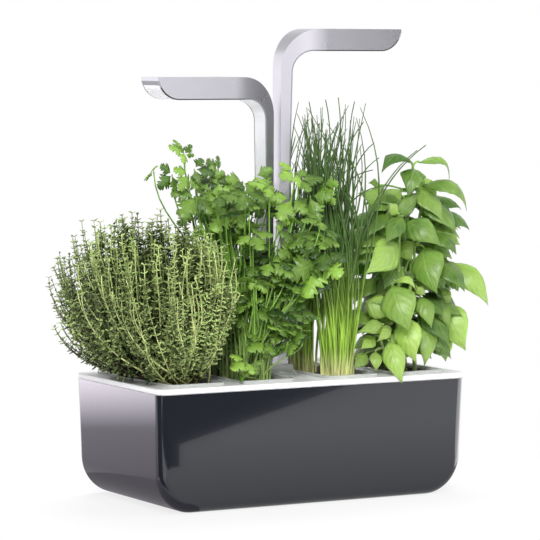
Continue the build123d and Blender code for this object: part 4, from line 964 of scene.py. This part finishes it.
def spot_in_oval(x, y, reach_x, reach_y, level):
    turn, far = vary(0, 6.283), math.sqrt(luck.random())
    return np.array((x + math.cos(turn) * far * reach_x, y + math.sin(turn) * far * reach_y, level))


for clump_x, clump_y, reach_x, reach_y, blades in CHIVES_CLUMPS:
    for _ in range(blades):
        root = spot_in_oval(clump_x, clump_y, reach_x, reach_y, ROOT_LEVEL)
        height = luck.triangular(0.13, TALLEST_BLADE, 0.24)
        top = spot_in_oval(0.054, clump_y * 0.5, 0.04, 0.026, root[2] + height)
        top[0:2] = root[0:2] + (top[0:2] - root[0:2]) * (height / TALLEST_BLADE)
        before_mast = clump_y < -0.04 and luck.random() < 0.3
        if before_mast:
            root[1] = vary(-0.062, -0.048)
            top[0:2] = vary(0.0, 0.03) + (0.27 - height) * 0.1, vary(-0.062, -0.046)
        top[0] = min(max(top[0], 0.002 if before_mast else MAST_SIDE), BASIL_SIDE)
        top[1] = min(max(top[1], -0.066), 0.042)
        sway = np.array((luck.gauss(0, 0.009), luck.gauss(0, 0.003 if before_mast else 0.008), 0))
        lean = np.array((luck.gauss(0.08, 0.6), luck.gauss(0, 0.05 if before_mast else 0.3), 1.0))
        pull = top - lean * height * 0.32
        pull[0] = min(max(pull[0], 0.01), max(0.08, top[0]))
        path = bend(root, root + (0, 0, height * 0.5) + sway, pull, top, 14)
        path[:, 0] = np.clip(path[:, 0], 0.001 if before_mast else MAST_SIDE, BASIL_SIDE)
        radius = vary(0.0008, 0.0013)
        shaft, point = np.linspace(radius, radius * 0.75, 10), np.linspace(radius * 0.75, 0.0003, 5)
        chives_paths.append((path, np.concatenate((shaft, point[1:]))))

# %% Chives that stray, in millimetres: root, two pulls, tip, radius
STRAY_BLADES = (
    ((52, -44, 112), (56, -44, 240), (88, -50, 300), (132, -62, 331), 1.2),
    ((50, -40, 112), (54, -42, 230), (84, -46, 296), (126, -56, 326), 1.0),
    ((48, -46, 112), (52, -40, 260), (62, -34, 300), (106, -20, 318), 1.0),
    ((50, -40, 112), (50, -36, 260), (60, -30, 310), (104, -14, 332), 1.0),
    ((46, -44, 112), (46, -30, 280), (56, -24, 320), (92, -14, 352), 1.0),
    ((44, -40, 112), (44, -20, 260), (50, -20, 300), (104, -12, 306), 1.0),
    ((46, -40, 112), (48, -20, 250), (54, -30, 290), (110, -32, 292), 1.0),
    ((40, -50, 112), (36, -46, 200), (34, -40, 300), (22, -30, 372), 0.9),
    ((38, -44, 112), (36, -40, 220), (30, -36, 290), (21, -36, 356), 0.8),
    ((44, -46, 112), (58, -46, 220), (30, -40, 300), (20, -28, 344), 0.8),
    ((40, -46, 112), (22, -46, 220), (50, -40, 320), (40, -30, 374), 0.9),
    ((46, -46, 112), (66, -46, 220), (50, -40, 320), (72, -30, 372), 0.9),
    ((46, -46, 112), (30, -46, 220), (60, -40, 300), (54, -30, 376), 0.9),
)
STRAY_BREADTH, STRAY_POINT = 1.15, 0.45
for *points, radius in STRAY_BLADES:
    path = bend(*(np.array(point) * MM for point in points), 16)
    chives_paths.append((path, np.linspace(radius * STRAY_BREADTH * MM, STRAY_POINT * MM, 16)))
chives = stalk_piece("chives_blades", chives_paths, chives_finish)
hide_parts("chives_plant")

# %% [markdown]
# ## Thyme
# Thyme is a dome of thin woody shoots that leave the soil sideways and then climb. Short twigs branch from
# them, and tiny leaves sit in pairs, each pair at a right angle to the last. A leaf is a flat lens of twelve
# faces, drawn from a coarse ball: seen from any side it has a body, and tens of thousands stay light.

# %% Thyme leaf shape
bpy.ops.object.select_all(action="DESELECT")
bpy.ops.mesh.primitive_uv_sphere_add(segments=4, ring_count=2, radius=0.5)
lens = bpy.context.object
bpy.ops.object.mode_set(mode="EDIT")
bpy.ops.transform.rotate(value=math.radians(90), orient_axis="X", center_override=(0, 0, 0))
bpy.ops.transform.rotate(value=math.radians(45), orient_axis="Y", center_override=(0, 0, 0))
bpy.ops.transform.resize(value=(1.35, 1, 0.5), center_override=(0, 0, 0))
bpy.ops.transform.translate(value=(0, 0.5, 0))
bpy.ops.object.mode_set(mode="OBJECT")
print("thyme leaf", len(lens.data.polygons), "faces, size", [round(v, 2) for v in lens.dimensions])
lens_arrays = master_arrays(lens)
thyme_finish = leaf_finish(
    "thyme_leaf", 0.05, (0.014, 0.034, 0.004), (0.56, 0.72, 0.26), (0.25, 0.33, 0.12), 1.0, 0.0, 35.0,
    Specular_IOR_Level=0.15,
)
thyme_stalk_finish = stalk_finish(
    "thyme_stalk", 0.3, (0.05, 0.035, 0.02), (0.12, 0.13, 0.05), (0.27, 0.35, 0.1), (0.13, 0.17, 0.26), 0.2
)
thyme_bright_finish = stalk_finish(
    "thyme_young_stalk", 0.3, (0.46, 0.44, 0.18), (0.6, 0.65, 0.27), (0.5, 0.62, 0.22),
    (0.12, 0.15, 0.26), 0.4,
)

# %% Thyme tools
luck = random.Random(5)
THYME_HEART = np.array((-0.1395, -0.01, 0.196))
THYME_REACH = np.array((0.082, 0.1, 0.077))
THYME_LEFT, THYME_RIGHT, THYME_FRONT, THYME_BACK = -0.2195, -0.0675, -0.103, 0.085
TRAY_LIP = 0.1205
SHOOT_STEPS = 24
thyme_paths, thyme_rows = [], []


def on_dome(turn, climb):
    """A direction by its turn about the upright and how far it climbs."""
    ring = math.sqrt(max(0, 1 - climb**2))
    return outward(turn, climb) * (ring, ring, 1)


def frame_of(ahead, spin):
    """Two directions across ahead, turned by spin."""
    cross = unit(np.cross(ahead, (0.0, 0.0, 1.0) if abs(ahead[2]) < 0.9 else (1.0, 0.0, 0.0)))
    other = np.cross(ahead, cross)
    return cross * math.cos(spin) + other * math.sin(spin), other * math.cos(spin) - cross * math.sin(spin)


def leaf_pair(spot, ahead, spin, size, tint, tuft):
    """Two opposite leaves, with small ones in their joints where tuft allows."""
    around, beside = frame_of(ahead, spin)
    # Painted shade: leaves deep inside the dome and close to the soil get lower tints, so they are drawn
    # darker.
    depth = np.linalg.norm((spot - THYME_HEART) / THYME_REACH)
    tint *= min(1, max(0, (depth - 0.68) / 0.26)) * min(1, 0.15 + (spot[2] - ROOT_LEVEL) / 0.055)
    for way in (1, -1):
        for share, lift, swing in ((1.0, 0.45, 0.0), (0.6, 1.0, 0.45), (0.55, 0.9, -0.5)):
            if share < 1 and luck.random() > tuft:
                continue
            heading = around * way * math.cos(swing) + beside * math.sin(swing) + ahead * lift
            length = size * share * vary(0.85, 1.2)
            tip = spot + unit(heading) * length
            shade = tint + vary(-0.2, 0.2)
            thyme_rows.append((*spot, *tip, length * 0.34, length * 0.05, *ahead, shade))


def clothe(path, first, step, size, tint, tuft):
    """Leaf pairs along a path from its share first to its end."""
    run = np.concatenate(([0], np.cumsum(np.linalg.norm(np.diff(path, axis=0), axis=1))))
    places = np.arange(run[-1] * first, run[-1] + step * 0.5, step)
    places = np.minimum(places + [vary(-0.3, 0.3) * step for _ in places], run[-1])
    spots = np.column_stack([np.interp(places, run, path[:, k]) for k in range(3)])
    nexts = np.column_stack([np.interp(places - 0.001, run, path[:, k]) for k in range(3)])
    spin = vary(0, 3.14)
    for number, (spot, before) in enumerate(zip(spots, nexts)):
        ahead = spot - before
        norm = np.linalg.norm(ahead)
        ahead = ahead / norm if norm > 1e-7 else np.array((0, 0, 1.0))
        age = 1.1 - 0.35 * number / max(1, len(spots))
        leaf_pair(spot, ahead, spin, size * age, tint, tuft)
        spin += math.pi / 2


def shoot_path(root, top, outward, wavy):
    """A shoot that leaves its root sideways, climbs and ends upright, with a slight wave."""
    rise = top[2] - root[2]
    sideways = np.array((top[0] - root[0], top[1] - root[1], 0))
    sway = np.array((luck.gauss(0, 0.006), luck.gauss(0, 0.006), 0))
    first = root + sideways * 0.4 + (0, 0, rise * 0.15 + 0.004) + sway
    second = root + sideways * outward + (0, 0, rise * 0.5) - sway
    path = bend(root, first, second, top, SHOOT_STEPS)
    wave = np.sin(np.linspace(0, vary(6, 14), SHOOT_STEPS) + vary(0, 6))[:, None]
    growth = np.linspace(0, 1, SHOOT_STEPS)[:, None]
    path += wave * np.array((luck.gauss(0, 1), luck.gauss(0, 1), 0)) * wavy * growth
    path[:, 0] = np.clip(path[:, 0], THYME_LEFT, THYME_RIGHT)
    path[:, 1] = np.clip(path[:, 1], THYME_FRONT, THYME_BACK)
    floor_line = np.minimum(TRAY_LIP, ROOT_LEVEL + np.linspace(0, 0.05, SHOOT_STEPS))
    path[:, 2] = np.maximum(path[:, 2], floor_line)
    return path

# %% Thyme shoots
SHOOTS, CROWN = 250, 80
GOLDEN_TURN = 2.39996
for shoot in range(SHOOTS + CROWN):
    climb = 1 - 1.4 * ((shoot + 0.5) / SHOOTS) ** 1.15 if shoot < SHOOTS else vary(0.35, 1.0)
    turn = shoot * GOLDEN_TURN + vary(-0.25, 0.25)
    depth = luck.choice((1.0, 1.0, 0.94, 0.84, 0.7, 0.5))
    way = on_dome(turn, climb) * depth
    if way[0] < -0.35 - 0.4 * climb and luck.random() < 0.5:
        continue
    top = THYME_HEART + way * THYME_REACH * vary(0.86, 1.02)
    root = np.array((THYME_X + vary(-0.015, 0.015), vary(-0.022, 0.022), ROOT_LEVEL))
    root[0:2] += way[0] * 0.008, way[1] * 0.045
    path = shoot_path(root, top, vary(0.8, 1.0), 0.0012)
    thyme_paths.append((path, np.linspace(0.0009, 0.0004, SHOOT_STEPS)))
    # Painted shade: shoots that end deeper inside the dome take lower tints, so their leaves are drawn
    # darker.
    tint = vary(0.1, 1.05) * (0.25 + 0.75 * depth)
    clothe(path, 0.3, vary(0.0046, 0.0058), vary(0.0052, 0.0068), tint, 0.5)
    for knot in range(9, 23, 2):
        if luck.random() < 0.2:
            continue
        ahead = unit(path[knot] - path[knot - 1])
        around, _ = frame_of(ahead, vary(0, 6.28))
        length = vary(0.008, 0.022) * (1.15 - knot / 40)
        end = path[knot] + around * length * 0.75 + ahead * length * 0.7 + (0, 0, length * 0.25)
        end[0] = min(end[0], THYME_RIGHT)
        gap = (end - THYME_HEART) / THYME_REACH
        if np.linalg.norm(gap) > 1.04:
            continue
        twig = bend(path[knot], path[knot] + around * length * 0.4, end - (0, 0, length * 0.25), end, 5)
        thyme_paths.append((twig, np.linspace(0.0005, 0.0003, 5)))
        clothe(twig, 0.3, 0.0042, 0.0054, tint + 0.08, 0.35)

# %% Long pale shoots over the front, and wisps at the rim
PALE_SHOOTS, WISPS = 70, 120
bright_paths = []
for _ in range(PALE_SHOOTS):
    way = on_dome(math.radians(vary(186, 322)), vary(0.0, 0.8))
    top = THYME_HEART + way * THYME_REACH * vary(0.98, 1.04)
    root = np.array((-0.117 + vary(-0.02, 0.016), vary(-0.06, -0.03), ROOT_LEVEL))
    path = shoot_path(root, top, vary(0.85, 1.15), 0.0024)
    bright_paths.append((path, np.linspace(0.0009, 0.0005, SHOOT_STEPS)))
    step, size = vary(0.0065, 0.0095), vary(0.0045, 0.0065)
    clothe(path, 0.15, step, size, vary(0.5, 1.1), 0.5)
for _ in range(WISPS):
    way = on_dome(math.radians(vary(95, 265)), vary(-0.75, 0.85))
    top = THYME_HEART + way * THYME_REACH * vary(1.0, 1.1)
    top[0] = max(top[0], vary(-0.22, -0.205))
    root = np.array((THYME_X + vary(-0.02, 0.0), vary(-0.04, 0.04), ROOT_LEVEL))
    path = shoot_path(root, top, vary(0.8, 1.0), 0.0012)
    thyme_paths.append((path, np.linspace(0.0007, 0.0003, SHOOT_STEPS)))
    clothe(path, 0.5, vary(0.006, 0.009), 0.0052, vary(0.2, 0.8), 0.3)
print("thyme leaves", len(thyme_rows))

# %% Thyme pieces
PART = 12000
for number in range(math.ceil(len(thyme_rows) / PART)):
    rows = thyme_rows[number * PART : (number + 1) * PART]
    thyme = leaf_piece(f"thyme_leaves_{number + 1}", lens_arrays, rows, thyme_finish)
    if number == 0:
        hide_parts("thyme_plant")
stalk_piece("thyme_shoots", thyme_paths, thyme_stalk_finish, 0)
stalk_piece("thyme_young_shoots", bright_paths, thyme_bright_finish, 0)
